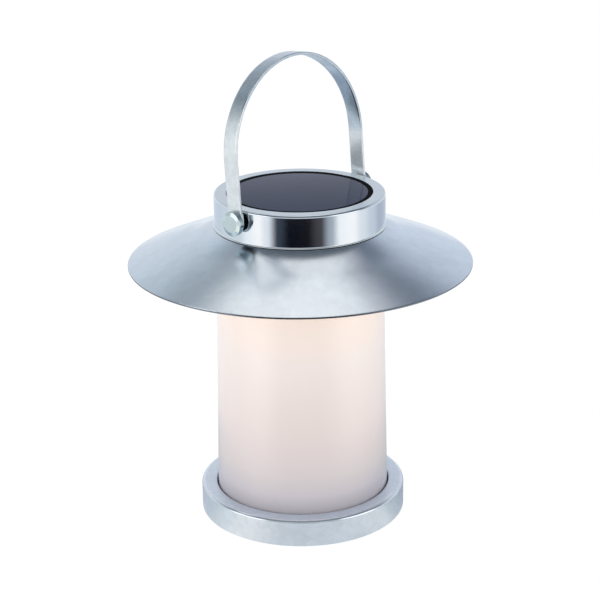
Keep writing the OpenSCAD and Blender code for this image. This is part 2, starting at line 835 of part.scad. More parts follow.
// Moulded module that plugs into the diffuser: board, diode, switch and cell sit in its bowl
module lamp_module() {
    rib_t = 1.4;
    rib_h = 0.7 * spigot_h;
    rib_l = spigot_r - spigot_wall - bowl_r;
    color(white_plastic) difference() {
        union() {
            rotate_extrude($fn = round_fn) lamp_module_profile();
            battery_box();
            around(screw_count, screw_turn) translate([module_screw_c, 0, module_z]) {
                cylinder(r = pillar_r, h = pillar_top - module_z);
            }
            around(rib_count, 180 / rib_count) {
                translate([bowl_r - module_wall / 2, -rib_t / 2, flange_z - rib_h]) {
                    cube([rib_l + module_wall, rib_t, rib_h]);
                }
            }
            at_posts([-1, 1]) {
                translate([0, 0, module_z]) cylinder(r = post_r, h = board_z - module_z - seat_gap);
            }
        }
        battery_cuts();
        around(screw_count, screw_turn) translate([module_screw_c, 0, module_z - over]) {
            cylinder(d = screw_head_d + 2 * slip_gap, h = module_screw_seat - module_z + over);
            cylinder(d = screw_d + 2 * hole_gap, h = 2 * (pillar_top - module_z));
        }
        at_posts([-1, 1]) {
            translate([0, 0, floor_top]) cylinder(d = screw_d + 2 * thread_gap, h = post_h + over);
        }
        translate([0, 0, module_z - over]) {
            cylinder(d = led_d + 2 * slip_gap, h = module_floor + 2 * over);
        }
        translate([-slot_l / 2, switch_y - slot_w / 2, module_z - over]) {
            cube([slot_l, slot_w, module_floor + 2 * over]);
        }
    }
}

module module_screws() {
    color(steel) around(screw_count, screw_turn) {
        translate([module_screw_c, 0, module_screw_seat - seat_gap]) pan_screw(module_screw_l);
    }
}

// Round ring in the spigot's groove, against the diffuser's wall
module seal_ring() {
    color(black_plastic) translate([0, 0, seal_z]) rotate_extrude($fn = round_fn) {
        translate([seal_c, 0]) circle(d = seal_d);
    }
}

// Board with its chip, coil and capacitor on the upper face
module circuit_board() {
    color("#2f6b45") difference() {
        union() {
            translate([-board_l / 2, board_front, board_z]) {
                linear_extrude(board_t) round_rect([board_l, board_w], door_r);
            }
            translate(over_point(chip_at - [chip_size[0], chip_size[1]] / 2, board_top)) {
                cube(chip_size);
            }
            translate(over_point(coil_at, board_top)) cylinder(d = coil_d, h = coil_h);
            translate(over_point(capacitor_at, board_top)) {
                cylinder(d = capacitor_d, h = capacitor_h);
            }
        }
        at_posts([-1, 1]) {
            translate([0, 0, board_z - over]) {
                cylinder(d = screw_d + 2 * hole_gap, h = board_t + 2 * over);
            }
        }
    }
}

module board_screws() {
    color(steel) at_posts([-1, 1]) {
        translate([0, 0, board_top + seat_gap]) mirror([0, 0, 1]) pan_screw(board_screw_l);
    }
}

// Round-nosed diode that looks down through the module's floor
module led() {
    tip = module_z - led_proud;
    color("#fff2d0") {
        translate([0, 0, board_z - seat_gap - led_flange_h]) {
            cylinder(d = led_flange_d, h = led_flange_h);
        }
        translate([0, 0, tip + led_d / 2]) {
            cylinder(d = led_d, h = board_z - seat_gap - tip - led_d / 2);
            sphere(d = led_d);
        }
    }
}

// Case of the slide switch, with the channel that its knob runs in
module switch_body() {
    size = switch_size;
    z = board_z - seat_gap - size[2];
    color(black_plastic) difference() {
        translate([-size[0] / 2, switch_y - size[1] / 2, z]) cube(size);
        translate([-slot_l / 2, switch_y - slot_w / 2, z - over]) {
            cube([slot_l, slot_w, knob_in + knob_gap + over]);
        }
    }
}

module switch_knob() {
    top = board_z - seat_gap - switch_size[2] + knob_in;
    z = module_z - knob_proud;
    color(black_plastic) translate([knob_gap - slot_l / 2, switch_y - knob_w / 2, z]) {
        cube([knob_l, knob_w, top - z]);
    }
}

// Rechargeable cell lying along X, nub towards +X
module battery_cell() {
    edge = cell_edge;
    body_l = cell_l - nub_l;
    color("#4d8a57") translate([cell_x0, cell_y, cell_z]) rotate([0, 90, 0]) {
        cylinder(r1 = cell_r - edge, r2 = cell_r, h = edge);
        translate([0, 0, edge]) cylinder(r = cell_r, h = body_l - 2 * edge);
        translate([0, 0, body_l - edge]) cylinder(r1 = cell_r, r2 = cell_r - edge, h = edge);
        cylinder(d = nub_d, h = cell_l);
    }
}

// Conical wire spring that presses on the cell's flat end
module contact_spring() {
    wire_r = 0.35;
    turns = 3.5;
    turn_steps = 8;
    rings = turn_steps * turns;
    start_x = minus_x + contact_t + 2 * seat_gap + wire_r;
    run = cell_x0 - seat_gap - wire_r - start_x;
    narrow = 2.4;
    wide = cell_r - narrow;
    coil = [
        for (i = [0 : rings])
            let (s = i / rings, r = wide + (narrow - wide) * s, a = 360 * turns * s)
            [start_x + run * s, cell_y + r * cos(a), cell_z + r * sin(a)]
    ];
    color(steel) tube(coil, wire_r, turn_steps - 2, [1, 0, 0]);
}

// Plated contact plates, one at each end of the box
module contact_plate() {
    color(bright_zinc) for (x = [minus_x + seat_gap, plus_x - contact_t - seat_gap]) {
        translate([x, cell_y - contact_w / 2, cell_z - contact_w / 2]) {
            cube([contact_t, contact_w, contact_w]);
        }
    }
}

// Door flush in the module's underside, with finger grooves
module battery_door() {
    color(white_plastic) difference() {
        translate([0, 0, module_z]) linear_extrude(door_t) door_outline(0);
        for (i = [0 : groove_count - 1]) {
            x = minus_x + groove_start + i * groove_pitch;
            translate([x, cell_y - cell_r / 2, module_z - groove_depth]) {
                cube([groove_pitch / 2, cell_r, 2 * groove_depth]);
            }
        }
        translate([ear_x, cell_y, module_z - over]) {
            cylinder(d = screw_d + 2 * hole_gap, h = door_t + 2 * over);
        }
    }
}

module door_screw() {
    color(steel) translate([ear_x, cell_y, module_z - seat_gap]) pan_screw(door_screw_l);
}

// One lead along its route
module lead(route, first) {
    tube(smooth(route, lead_steps), lead_d / 2, lead_sides, first);
}

// Leads from the panel to the board, and from the box's contacts to the board
module panel_lead_red() {
    color("#b3261e") lead(panel_lead, [1, 0, 0]);
}

module panel_lead_black() {
    color("#1b1b1b") mirror([1, 0, 0]) lead(panel_lead, [1, 0, 0]);
}

module battery_lead_red() {
    color("#b3261e") lead(battery_lead, [0, 0, 1]);
}

module battery_lead_black() {
    color("#1b1b1b") mirror([1, 0, 0]) lead(battery_lead, [0, 0, 1]);
}

base_pan();
base_plate();
base_screws();
base_feet();
diffuser();
brim();
collar();
handle_strap();
pivot_screws();
pivot_spacers();
pivot_washers();
pivot_nuts();
pivot_brackets();
bracket_rivets();
solar_panel();
panel_housing();
panel_gasket();
lamp_module();
module_screws();
seal_ring();
circuit_board();
board_screws();
led();
switch_body();
switch_knob();
battery_cell();
contact_spring();
contact_plate();
battery_door();
door_screw();
panel_lead_red();
panel_lead_black();
battery_lead_red();
battery_lead_black();
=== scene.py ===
import math

import bmesh
import bpy
from bpy.props import FloatProperty, FloatVectorProperty, IntProperty, PointerProperty
from mathutils import Matrix, Vector


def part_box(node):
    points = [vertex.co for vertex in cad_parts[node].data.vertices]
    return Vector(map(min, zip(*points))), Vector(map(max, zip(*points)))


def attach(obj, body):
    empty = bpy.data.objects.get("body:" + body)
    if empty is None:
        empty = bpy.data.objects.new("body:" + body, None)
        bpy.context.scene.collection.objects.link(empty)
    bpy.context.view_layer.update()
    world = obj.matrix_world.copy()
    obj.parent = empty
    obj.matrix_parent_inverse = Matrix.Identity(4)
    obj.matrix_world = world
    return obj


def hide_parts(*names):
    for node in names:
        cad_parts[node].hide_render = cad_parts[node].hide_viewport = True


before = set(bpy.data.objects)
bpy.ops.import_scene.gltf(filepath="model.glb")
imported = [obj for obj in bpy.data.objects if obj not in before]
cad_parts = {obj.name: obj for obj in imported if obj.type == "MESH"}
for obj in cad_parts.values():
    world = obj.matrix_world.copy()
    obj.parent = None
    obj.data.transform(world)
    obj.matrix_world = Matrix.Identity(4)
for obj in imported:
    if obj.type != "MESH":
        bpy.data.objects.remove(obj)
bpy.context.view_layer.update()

bl_info = {
    "name": "Solar strap lantern",
    "version": (1, 0, 0),
    "blender": (4, 5, 0),
    "location": "View3D > Sidebar > Lantern",
    "description": "Dresses the packed lantern in bent sheet, moulded plastic and their finishes",
    "category": "Object",
}

MM = 0.001
# Points closer than this are one point
WELD = 0.001 * MM


def hex_linear(code):
    """Linear colour of an sRGB hex value."""
    parts = [int(code[i:i + 2], 16) / 255 for i in (1, 3, 5)]
    return tuple(c / 12.92 if c <= 0.04045 else ((c + 0.055) / 1.055) ** 2.4 for c in parts)


def length(name, description, millimetres):
    """A length that a user can set."""
    return FloatProperty(name=name, description=description, default=millimetres * MM, unit="LENGTH",
                         precision=5)


def angle(name, description, degrees):
    """An angle that a user can set."""
    return FloatProperty(name=name, description=description, default=math.radians(degrees), subtype="ANGLE")


def colour(name, description, code):
    """A colour that a user can set."""
    return FloatVectorProperty(name=name, description=description, default=hex_linear(code), subtype="COLOR",
                               min=0, max=1)


class LanternSizes(bpy.types.PropertyGroup):
    """Sizes of the lantern's pieces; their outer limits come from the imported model."""

    sheet: length("Sheet", "Thickness of the galvanised sheet", 1.0)
    cut_edge: length("Cut edge", "Easing of a sheet's cut edge", 0.14)
    pan_fold: length("Pan fold", "Outer bend radius at the pan's top", 2.2)
    pan_hem_fold: length("Hem fold", "Outer bend radius at the pan's hem", 1.6)
    pan_hem: length("Hem radius", "Inner radius of the pan's hem", 66.7)
    pan_hole: length("Pan opening", "Radius of the opening round the diffuser", 60.64)
    pan_lip: length("Pan lip", "Length of the lip turned down round the opening", 4.0)
    pan_lip_fold: length("Lip fold", "Outer bend radius of the lip", 1.05)
    foot_ring: length("Foot ring", "Radius of the ring that the feet stand on", 58.7)
    foot_radius: length("Foot radius", "Radius of a rubber foot", 7.0)
    boss_ring: length("Boss ring", "Radius of the ring of screw bosses", 54.333)
    boss_radius: length("Boss radius", "Outer radius of a screw boss", 4.0)
    boss_bore: length("Boss bore", "Radius of the pilot hole in a boss", 1.55)
    boss_top: length("Boss top", "Height of a boss's top above the floor", 14.9)
    boss_seat: length("Boss seat", "Height of a boss's foot above the sleeve's foot", 0.4)
    diffuser_wall: length("Diffuser wall", "Wall of the opal sleeve", 2.4)
    diffuser_draft: angle("Draft", "Draft of the opal sleeve", 1.02)
    brim_drop: length("Brim drop", "Drop of the brim from the collar to the rim", 25.3)
    brim_crown: length("Brim crown", "Bulge of the brim's slope", 0.92)
    brim_flare: angle("Brim flare", "Steeper slope beside the collar", 9.0)
    flare_run: length("Flare run", "Run of the steeper slope from the collar", 7.5)
    flare_fade: length("Flare fade", "Run over which the steeper slope fades out", 17)
    brim_ring: length("Brim ring", "Inner radius of the brim's flat ring", 34.15)
    brim_neck: length("Brim neck", "Radius where the slope starts", 53.0)
    collar_opening: length("Collar opening", "Radius of the opening in the collar's flange", 49.6)
    collar_fold: length("Collar fold", "Outer bend radius at the collar's top", 1.6)
    collar_curl: length("Collar curl", "Outer radius of the curl at the collar's foot", 0.56)
    collar_seat: length("Collar seat", "How far the curl settles on the brim's slope", 0.42)
    lip_width: length("Lip width", "How far the collar's foot flares out", 0.8)
    lip_rise: length("Lip rise", "Thickness of the flared foot at its edge", 0.2)
    lip_lift: length("Lip lift", "Height of the flared foot above the curl's lowest point", 0.1)
    strap_width: length("Strap width", "Width of the handle's strap", 13.1)
    strap_thickness: length("Strap thickness", "Thickness of the handle's strap", 2.0)
    strap_leg: length("Strap leg", "Straight length from the pivot to the arch", 39.5)
    strap_hole: length("Strap hole", "Radius of the strap's pivot holes", 3.06)
    strap_ease: length("Strap ease", "Rounding of the strap's edges", 0.35)
    handle_lean: angle("Lean", "Lean of the handle at rest", 4.7)
    pivot_height: length("Pivot height", "Height of the pivot axis", 223.219)
    pivot_head: length("Pivot head", "Height of a pivot screw's head", 4.2)
    head_chamfer: length("Head chamfer", "Width of the shallow chamfer round that head", 2.6)
    head_fall: length("Head fall", "Fall of that chamfer", 0.8)
    shoulder: length("Shoulder", "Length of the shoulder that the strap turns on", 2.15)
    shoulder_radius: length("Shoulder radius", "Radius of that shoulder", 3.0)
    pivot_thread: length("Pivot thread", "Thread radius of a pivot screw", 2.0)
    pivot_tip: length("Pivot tip", "Radius of a pivot screw's tip", 1.6)
    pivot_end: length("Pivot end", "Distance of that tip from the lantern's axis", 50.33)
    pivot_point: length("Pivot point", "Length of the tapered tip", 0.47)
    spacer_bore: length("Spacer bore", "Radius of the hole in a spacer", 2.2)
    spacer_seat: length("Spacer seat", "How far a spacer is let into the collar's wall", 0.42)
    panel_dome: length("Panel dome", "Rise of the laminate's face from its rim to its middle", 1.0)
    screw_head: length("Screw head", "Diameter of a small screw's head", 5.6)
    screw_head_height: length("Screw head height", "Height of a small screw's head", 1.4)
    screw_shank: length("Screw shank", "Thread diameter of a small screw", 3.0)
    screw_pitch: length("Screw pitch", "Pitch of a small screw's thread", 1.0)
    round_steps: IntProperty(
        name="Round steps", description="Steps round a large turned piece", default=288, min=24)


class LanternFinishes(bpy.types.PropertyGroup):
    """Colours of the lantern's finishes."""

    sheet: colour("Rolled zinc", "Satin zinc of the brim", "#c9d4df")
    pressed: colour("Pressed zinc", "Mottled zinc of the base", "#d9e0e6")
    strap: colour("Strap zinc", "Zinc of the strap", "#b0bcc6")
    bloom: colour("Zinc bloom", "White oxide on the strap's legs and the collar's foot", "#e6ecee")
    pan_bloom: colour("Pan bloom", "White oxide on the flat top of the base", "#eaf3ff")
    plate: colour("Bright zinc", "Near-mirror zinc of the collar", "#c8d1d9")
    turned: colour("Turned zinc", "Plated heads of the pivot screws", "#bccacc")
    opal: colour("Opal plastic", "Unlit colour of the diffuser", "#ebe1e6")
    panel: colour("Solar laminate", "Dark cell under the panel's glass", "#2c3556")
    black: colour("Black plastic", "Bezel, spacers and switch", "#0b0c0f")
    rubber: colour("Rubber", "Feet and seals", "#1c1d1f")
    white: colour("White plastic", "Lamp module and its door", "#e6e3dc")
    steel: colour("Fastener steel", "Small screws, nuts and brackets", "#bcc1c5")
    board: colour("Solder mask", "Circuit board", "#2a6a43")
    sleeve: colour("Cell sleeve", "Shrink sleeve of the cell", "#3f8a4e")
    red_wire: colour("Red wire", "Insulation of the plus leads", "#b3261e")
    black_wire: colour("Black wire", "Insulation of the minus leads", "#1b1b1b")
    diode: colour("Diode epoxy", "Lens of the lit diode", "#ffe9b8")


def set_inputs(tree, node, inputs):
    """Sets a node's inputs: each is a value, an output, a node for its first live output, or a list of
    nodes where the input takes several."""
    for key, value in inputs.items():
        for source in value if isinstance(value, list) else [value]:
            if isinstance(source, bpy.types.Node):
                source = next(output for output in source.outputs if output.enabled)
            if isinstance(source, bpy.types.NodeSocket):
                tree.links.new(source, node.inputs[key])
            else:
                node.inputs[key].default_value = source


def add_node(tree, kind, settings=None, inputs=None):
    """Adds a node with its settings and inputs."""
    made = tree.nodes.new(kind)
    for key, value in (settings or {}).items():
        setattr(made, key, value)
    set_inputs(tree, made, inputs or {})
    return made


def new_tree(name, inputs):
    """A Geometry Nodes tree with a geometry input, named inputs and a geometry output."""
    tree = bpy.data.node_groups.new(name, "GeometryNodeTree")
    tree.interface.new_socket("Geometry", in_out="INPUT", socket_type="NodeSocketGeometry")
    for label, kind in inputs:
        tree.interface.new_socket(label, in_out="INPUT", socket_type="NodeSocket" + kind)
    tree.interface.new_socket("Geometry", in_out="OUTPUT", socket_type="NodeSocketGeometry")
    return tree, add_node(tree, "NodeGroupInput").outputs


def close_tree(tree, geometry, material=None):
    """Joins the last geometry to the tree's output, made real and in its material if it has one."""
    if material:
        real = add_node(tree, "GeometryNodeRealizeInstances", inputs={"Geometry": geometry})
        geometry = add_node(tree, "GeometryNodeSetMaterial", inputs={"Geometry": real, "Material": material})
    add_node(tree, "NodeGroupOutput", inputs={"Geometry": geometry})
    return tree


SHARED = {}


def shared_tree(make):
    """The tree that a function makes, made once."""
    if make not in SHARED:
        SHARED[make] = make()
    return SHARED[make]


def lathe_tree():
    """Turns the points of a section, radius along X and height along Z, about the Z axis."""
    tree, given = new_tree("lathe", [("Steps", "Int")])
    count = add_node(tree, "GeometryNodeAttributeDomainSize", inputs={"Geometry": given["Geometry"]})
    rows = add_node(tree, "FunctionNodeIntegerMath", {"operation": "ADD"}, {0: given["Steps"], 1: 1})
    grid = add_node(tree, "GeometryNodeMeshGrid", inputs={
        "Vertices X": count.outputs["Point Count"], "Vertices Y": rows})
    index = add_node(tree, "GeometryNodeInputIndex")
    along, step = (add_node(tree, "FunctionNodeIntegerMath", {"operation": operation}, {0: index, 1: rows})
                   for operation in ("DIVIDE_FLOOR", "MODULO"))
    share = add_node(tree, "ShaderNodeMath", {"operation": "DIVIDE"}, {0: step, 1: given["Steps"]})
    turn = add_node(tree, "ShaderNodeMath", {"operation": "MULTIPLY"}, {0: share, 1: math.tau})
    point = add_node(tree, "GeometryNodeSampleIndex", {"data_type": "FLOAT_VECTOR"}, {
        "Geometry": given["Geometry"], "Value": add_node(tree, "GeometryNodeInputPosition"), "Index": along})
    section = add_node(tree, "ShaderNodeSeparateXYZ", inputs={0: point}).outputs
    sides = []
    for operation in ("COSINE", "SINE"):
        wave = add_node(tree, "ShaderNodeMath", {"operation": operation}, {0: turn})
        sides.append(add_node(tree, "ShaderNodeMath", {"operation": "MULTIPLY"}, {0: section["X"], 1: wave}))
    turned_point = add_node(tree, "ShaderNodeCombineXYZ", inputs={
        0: sides[0], 1: sides[1], 2: section["Z"]})
    moved = add_node(tree, "GeometryNodeSetPosition", inputs={"Geometry": grid, "Position": turned_point})
    closed = add_node(tree, "GeometryNodeMergeByDistance", inputs={"Geometry": moved, "Distance": WELD})
    return close_tree(tree, closed)


COPY_INPUTS = [
    ("Copies", "Int"), ("First Angle", "Float"), ("Ring Radius", "Float"), ("Height", "Float"),
    ("Tip", "Float"), ("Material", "Material"),
]


def ring_tree():
    """Tips a piece, stands it on a ring and repeats it round the Z axis."""
    tree, given = new_tree("ring_of_copies", COPY_INPUTS)
    place = add_node(tree, "ShaderNodeCombineXYZ", inputs={0: given["Ring Radius"], 2: given["Height"]})
    tip = add_node(tree, "ShaderNodeCombineXYZ", inputs={1: given["Tip"]})
    first = add_node(tree, "GeometryNodeTransform", inputs={
        "Geometry": given["Geometry"], "Translation": place, "Rotation": tip})
    points = add_node(tree, "GeometryNodePoints", inputs={"Count": given["Copies"]})
    index = add_node(tree, "GeometryNodeInputIndex")
    step = add_node(tree, "ShaderNodeMath", {"operation": "DIVIDE"}, {0: math.tau, 1: given["Copies"]})
    turn = add_node(tree, "ShaderNodeMath", {"operation": "MULTIPLY_ADD"},
                    {0: index, 1: step, 2: given["First Angle"]})
    euler = add_node(tree, "ShaderNodeCombineXYZ", inputs={2: turn})
    rotation = add_node(tree, "FunctionNodeEulerToRotation", inputs={0: euler})
    copies = add_node(tree, "GeometryNodeInstanceOnPoints", inputs={
        "Points": points, "Instance": first, "Rotation": rotation})
    return close_tree(tree, copies, given["Material"])


def turned_tree():
    """A turned piece, once or repeated round the Z axis."""
    tree, given = new_tree("turned_piece", [("Steps", "Int"), *COPY_INPUTS])
    lathe = add_node(tree, "GeometryNodeGroup", {"node_tree": shared_tree(lathe_tree)},
                     {"Geometry": given["Geometry"], "Steps": given["Steps"]})
    ring = add_node(tree, "GeometryNodeGroup", {"node_tree": shared_tree(ring_tree)},
                    {"Geometry": lathe, **{name: given[name] for name, _ in COPY_INPUTS}})
    return close_tree(tree, ring)


# Shares that shape a small screw: flat face and recess of the head's radius, edge and recess of its height
FACE_SHARE, RECESS_SPAN, EDGE_SHARE, RECESS_DEPTH = 0.82, 1.15, 0.55, 0.6
# Slots as a share of the recess's span; a thread's ridge and half its depth as shares of its pitch
RECESS_SLOT, THREAD_RIDGE, THREAD_DEPTH = 0.26, 0.28, 0.2


def screw_tree():
    """A turned screw with a cross recess in its head, which looks down, and a spiral thread."""
    sizes = [(name, "Float") for name in (
        "Recess", "Recess Depth", "Head Height", "Shank Radius", "Length", "Pitch")]
    tree, given = new_tree("cross_head_screw", [("Steps", "Int"), *sizes, *COPY_INPUTS])
    lathe = add_node(tree, "GeometryNodeGroup", {"node_tree": shared_tree(lathe_tree)},
                     {"Geometry": given["Geometry"], "Steps": given["Steps"]})
    slot_width, slot_height, tip, ridge_radius = (
        add_node(tree, "ShaderNodeMath", {"operation": "MULTIPLY"}, {0: given[size], 1: share})
        for size, share in (("Recess", RECESS_SLOT), ("Recess Depth", 2.0), ("Head Height", -1.0),
                            ("Pitch", THREAD_RIDGE)))
    tip_place = add_node(tree, "ShaderNodeCombineXYZ", inputs={2: tip})
    slots = []
    for x, y in ((given["Recess"], slot_width), (slot_width, given["Recess"])):
        size = add_node(tree, "ShaderNodeCombineXYZ", inputs={0: x, 1: y, 2: slot_height})
        slot = add_node(tree, "GeometryNodeMeshCube", inputs={"Size": size})
        slots.append(add_node(tree, "GeometryNodeTransform", inputs={
            "Geometry": slot, "Translation": tip_place}))
    cut = add_node(tree, "GeometryNodeMeshBoolean", {"operation": "DIFFERENCE"}, {0: lathe, "Mesh 2": slots})
    turns = add_node(tree, "ShaderNodeMath", {"operation": "DIVIDE"}, {0: given["Length"], 1: given["Pitch"]})
    spiral = add_node(tree, "GeometryNodeCurveSpiral", inputs={
        "Resolution": 16, "Rotations": turns, "Start Radius": given["Shank Radius"],
        "End Radius": given["Shank Radius"], "Height": given["Length"]})
    ridge = add_node(tree, "GeometryNodeCurvePrimitiveCircle", inputs={
        "Resolution": 3, "Radius": ridge_radius})
    thread = add_node(tree, "GeometryNodeCurveToMesh", inputs={
        "Curve": spiral, "Profile Curve": ridge, "Fill Caps": True})
    joined = add_node(tree, "GeometryNodeJoinGeometry", inputs={0: [cut, thread]})
    ring = add_node(tree, "GeometryNodeGroup", {"node_tree": shared_tree(ring_tree)},
                    {"Geometry": joined, **{name: given[name] for name, _ in COPY_INPUTS}})
    return close_tree(tree, ring)


def bail_tree():
    """Bends a flat strap, length along X, into two legs and a half-round arch over the Z axis."""
    sizes = [(name, "Float") for name in ("Leg", "Arch Radius", "Lean", "Height")]
    tree, given = new_tree("bent_bail", [*sizes, ("Material", "Material")])
    place = add_node(tree, "GeometryNodeInputPosition")
    flat = add_node(tree, "ShaderNodeSeparateXYZ", inputs={0: place}).outputs
    leg, radius = given["Leg"], given["Arch Radius"]
    past_leg = add_node(tree, "ShaderNodeMath", {"operation": "SUBTRACT"}, {0: flat["X"], 1: leg})
    turn = add_node(tree, "ShaderNodeMath", {"operation": "DIVIDE"}, {0: past_leg, 1: radius})
    held = add_node(tree, "ShaderNodeClamp", inputs={"Value": turn, "Min": 0.0, "Max": math.pi})
    arc = add_node(tree, "ShaderNodeMath", {"operation": "MULTIPLY"}, {0: held, 1: radius})
    straight = add_node(tree, "ShaderNodeMath", {"operation": "SUBTRACT"}, {0: past_leg, 1: arc})
    reach = add_node(tree, "ShaderNodeMath", {"operation": "ADD"}, {0: radius, 1: flat["Z"]})
    cosine, sine = (add_node(tree, "ShaderNodeMath", {"operation": operation}, {0: held})
                    for operation in ("COSINE", "SINE"))
    back = add_node(tree, "ShaderNodeMath", {"operation": "MULTIPLY"}, {0: reach, 1: cosine})
    ahead = add_node(tree, "ShaderNodeMath", {"operation": "MULTIPLY"}, {0: straight, 1: sine})
    across = add_node(tree, "ShaderNodeMath", {"operation": "SUBTRACT"}, {0: ahead, 1: back})
    rise = add_node(tree, "ShaderNodeMath", {"operation": "MULTIPLY_ADD"}, {0: reach, 1: sine, 2: leg})
    up = add_node(tree, "ShaderNodeMath", {"operation": "MULTIPLY_ADD"}, {0: straight, 1: cosine, 2: rise})
    bent = add_node(tree, "ShaderNodeCombineXYZ", inputs={0: across, 1: flat["Y"], 2: up})
    moved = add_node(tree, "GeometryNodeSetPosition", inputs={
        "Geometry": given["Geometry"], "Position": bent})
    lean = add_node(tree, "ShaderNodeMath", {"operation": "MULTIPLY"}, {0: given["Lean"], 1: -1.0})
    rotation = add_node(tree, "ShaderNodeCombineXYZ", inputs={0: lean})
    height = add_node(tree, "ShaderNodeCombineXYZ", inputs={2: given["Height"]})
    stood = add_node(tree, "GeometryNodeTransform", inputs={
        "Geometry": moved, "Translation": height, "Rotation": rotation})
    return close_tree(tree, stood, given["Material"])


def left_of(run):
    """Unit normal on the left of a direction in the section's plane."""
    return Vector((-run.y, run.x))


def close_outline(points):
    """Ends an outline where it began."""
    return points + points[:1]


def bent_sheet(corners, bends, sheet, edge, steps=8, level_end=False):
    """Closed outline of a sheet bent along corner points, (radius, height), its cut edges eased; a level
    end is cut upright."""
    path = []
    last = len(corners) - 1
    for i, corner in enumerate(corners):
        before = (corner - corners[i - 1]).normalized() if i > 0 else None
        after = (corners[i + 1] - corner).normalized() if i < last else None
        if before is None or after is None:
            path.append((corner, after if before is None else before))
            continue
        if not bends[i]:
            path.append((corner, (before + after).normalized()))
            continue
        turn = math.atan2(before.x * after.y - before.y * after.x, before.dot(after))
        side = math.copysign(1, turn)
        reach = bends[i] * math.tan(abs(turn) / 2)
        start = corner - before * reach
        centre = start + left_of(before) * side * bends[i]
        # A point close to either end of the bend keeps the flats' shading flat
        path.append((start - before * edge / 2, before))
        for k in range(steps + 1):
            run = Matrix.Rotation(turn * k / steps, 2) @ before
            path.append((centre - left_of(run) * side * bends[i], run))
        path.append((corner + after * (reach + edge / 2), after))
    half = sheet / 2
    if level_end:
        path[-1] = (path[-1][0], Vector((1, 0)))
    (first, start), (final, end) = path[0], path[-1]
    path[0] = (first + start * edge, start)
    path[-1] = (final - end * edge, end)
    left = [point + left_of(run) * half for point, run in path]
    right = [point - left_of(run) * half for point, run in path]
    tip = [final + left_of(end) * (half - edge), final - left_of(end) * (half - edge)]
    root = [first - left_of(start) * (half - edge), first + left_of(start) * (half - edge)]
    return close_outline(left + tip + right[::-1] + root)


def eased(points, ease, steps=3):
    """An outline with its marked corners, (radius, height, True), rounded off; a point close to either end
    of a rounding keeps the flats' shading flat."""
    beside = 1.15
    made = []
    for i, (x, y, round_off) in enumerate(points):
        corner = Vector((x, y))
        if not round_off:
            made.append(corner)
            continue
        before = (Vector(points[i - 1][:2]) - corner).normalized() * ease
        after = (Vector(points[(i + 1) % len(points)][:2]) - corner).normalized() * ease
        made.append(corner + before * beside)
        for k in range(steps + 1):
            t = k / steps
            made.append(corner + before * (1 - t) ** 2 + after * t ** 2)
        made.append(corner + after * beside)
    return made


def section_mesh(name, outline):
    """A mesh of points, radius along X and height along Z."""
    mesh = bpy.data.meshes.new(name)
    mesh.from_pydata([(p.x, 0, p.y) for p in outline], [(i, i + 1) for i in range(len(outline) - 1)], [])
    return mesh


def weld(mesh, outwards=False):
    """Merges doubled points, and points the faces outwards if asked."""
    shape = bmesh.new()
    shape.from_mesh(mesh)
    bmesh.ops.remove_doubles(shape, verts=shape.verts, dist=WELD)
    if outwards:
        bmesh.ops.recalc_face_normals(shape, faces=shape.faces)
    shape.to_mesh(mesh)
    shape.free()


def settle(piece, body, node, slot, sharp=32):
    """Smooths a piece up to the sharp angle, in degrees, and hands it to its body in a node's place."""
    piece.data.polygons.foreach_set("use_smooth", [True] * len(piece.data.polygons))
    piece.data.set_sharp_from_angle(angle=math.radians(sharp))
    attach(piece, body)
    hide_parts(node)


def made_by_nodes(name, mesh, tree, values, before=()):
    """A plain mesh object made from mesh by a tree, after the modifiers in before."""
    piece = bpy.data.objects.new(name, mesh)
    bpy.context.scene.collection.objects.link(piece)
    for kind, settings in before:
        modifier = piece.modifiers.new(kind.lower(), kind)
        for key, value in settings.items():
            setattr(modifier, key, value)
    modifier = piece.modifiers.new(tree.name, "NODES")
    modifier.node_group = tree
    for socket in tree.interface.items_tree:
        if socket.in_out == "INPUT" and socket.name in values:
            modifier[socket.identifier] = values[socket.name]
    bpy.context.view_layer.update()
    evaluated = piece.evaluated_get(bpy.context.evaluated_depsgraph_get())
    made = bpy.data.meshes.new_from_object(evaluated)
    piece.modifiers.clear()
    piece.data = made
    made.name = name
    if not made.polygons:
        raise RuntimeError(name + " came out empty")
    # A mesh made by nodes starts with an empty slot, which nothing uses
    made.materials.clear()
    made.materials.append(values["Material"])
    weld(made, outwards=True)
    return piece


def turned(name, outline, surface, body, node, slot, sharp=32, **placed):
    """A piece turned from an outline, placed by the ring's inputs."""
    values = {
        "Steps": bpy.context.scene.lantern_sizes.round_steps, "Copies": 1, "First Angle": 0.0,
        "Ring Radius": 0.0, "Height": 0.0, "Tip": 0.0, "Material": finish(surface),
    }
    values.update({key.replace("_", " ").title(): value for key, value in placed.items()})
    piece = made_by_nodes(name, section_mesh(name, outline), shared_tree(turned_tree), values)
    settle(piece, body, node, slot, sharp)


def moulded_copy(name, node, surface, body, slot):
    """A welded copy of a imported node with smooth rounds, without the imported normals, which welding spoils."""
    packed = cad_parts[node].data
    mesh = bpy.data.meshes.new(name)
    mesh.from_pydata([v.co for v in packed.vertices], [], [p.vertices[:] for p in packed.polygons])
    mesh.materials.append(finish(surface))
    weld(mesh)
    piece = bpy.data.objects.new(name, mesh)
    bpy.context.scene.collection.objects.link(piece)
    settle(piece, body, node, slot)


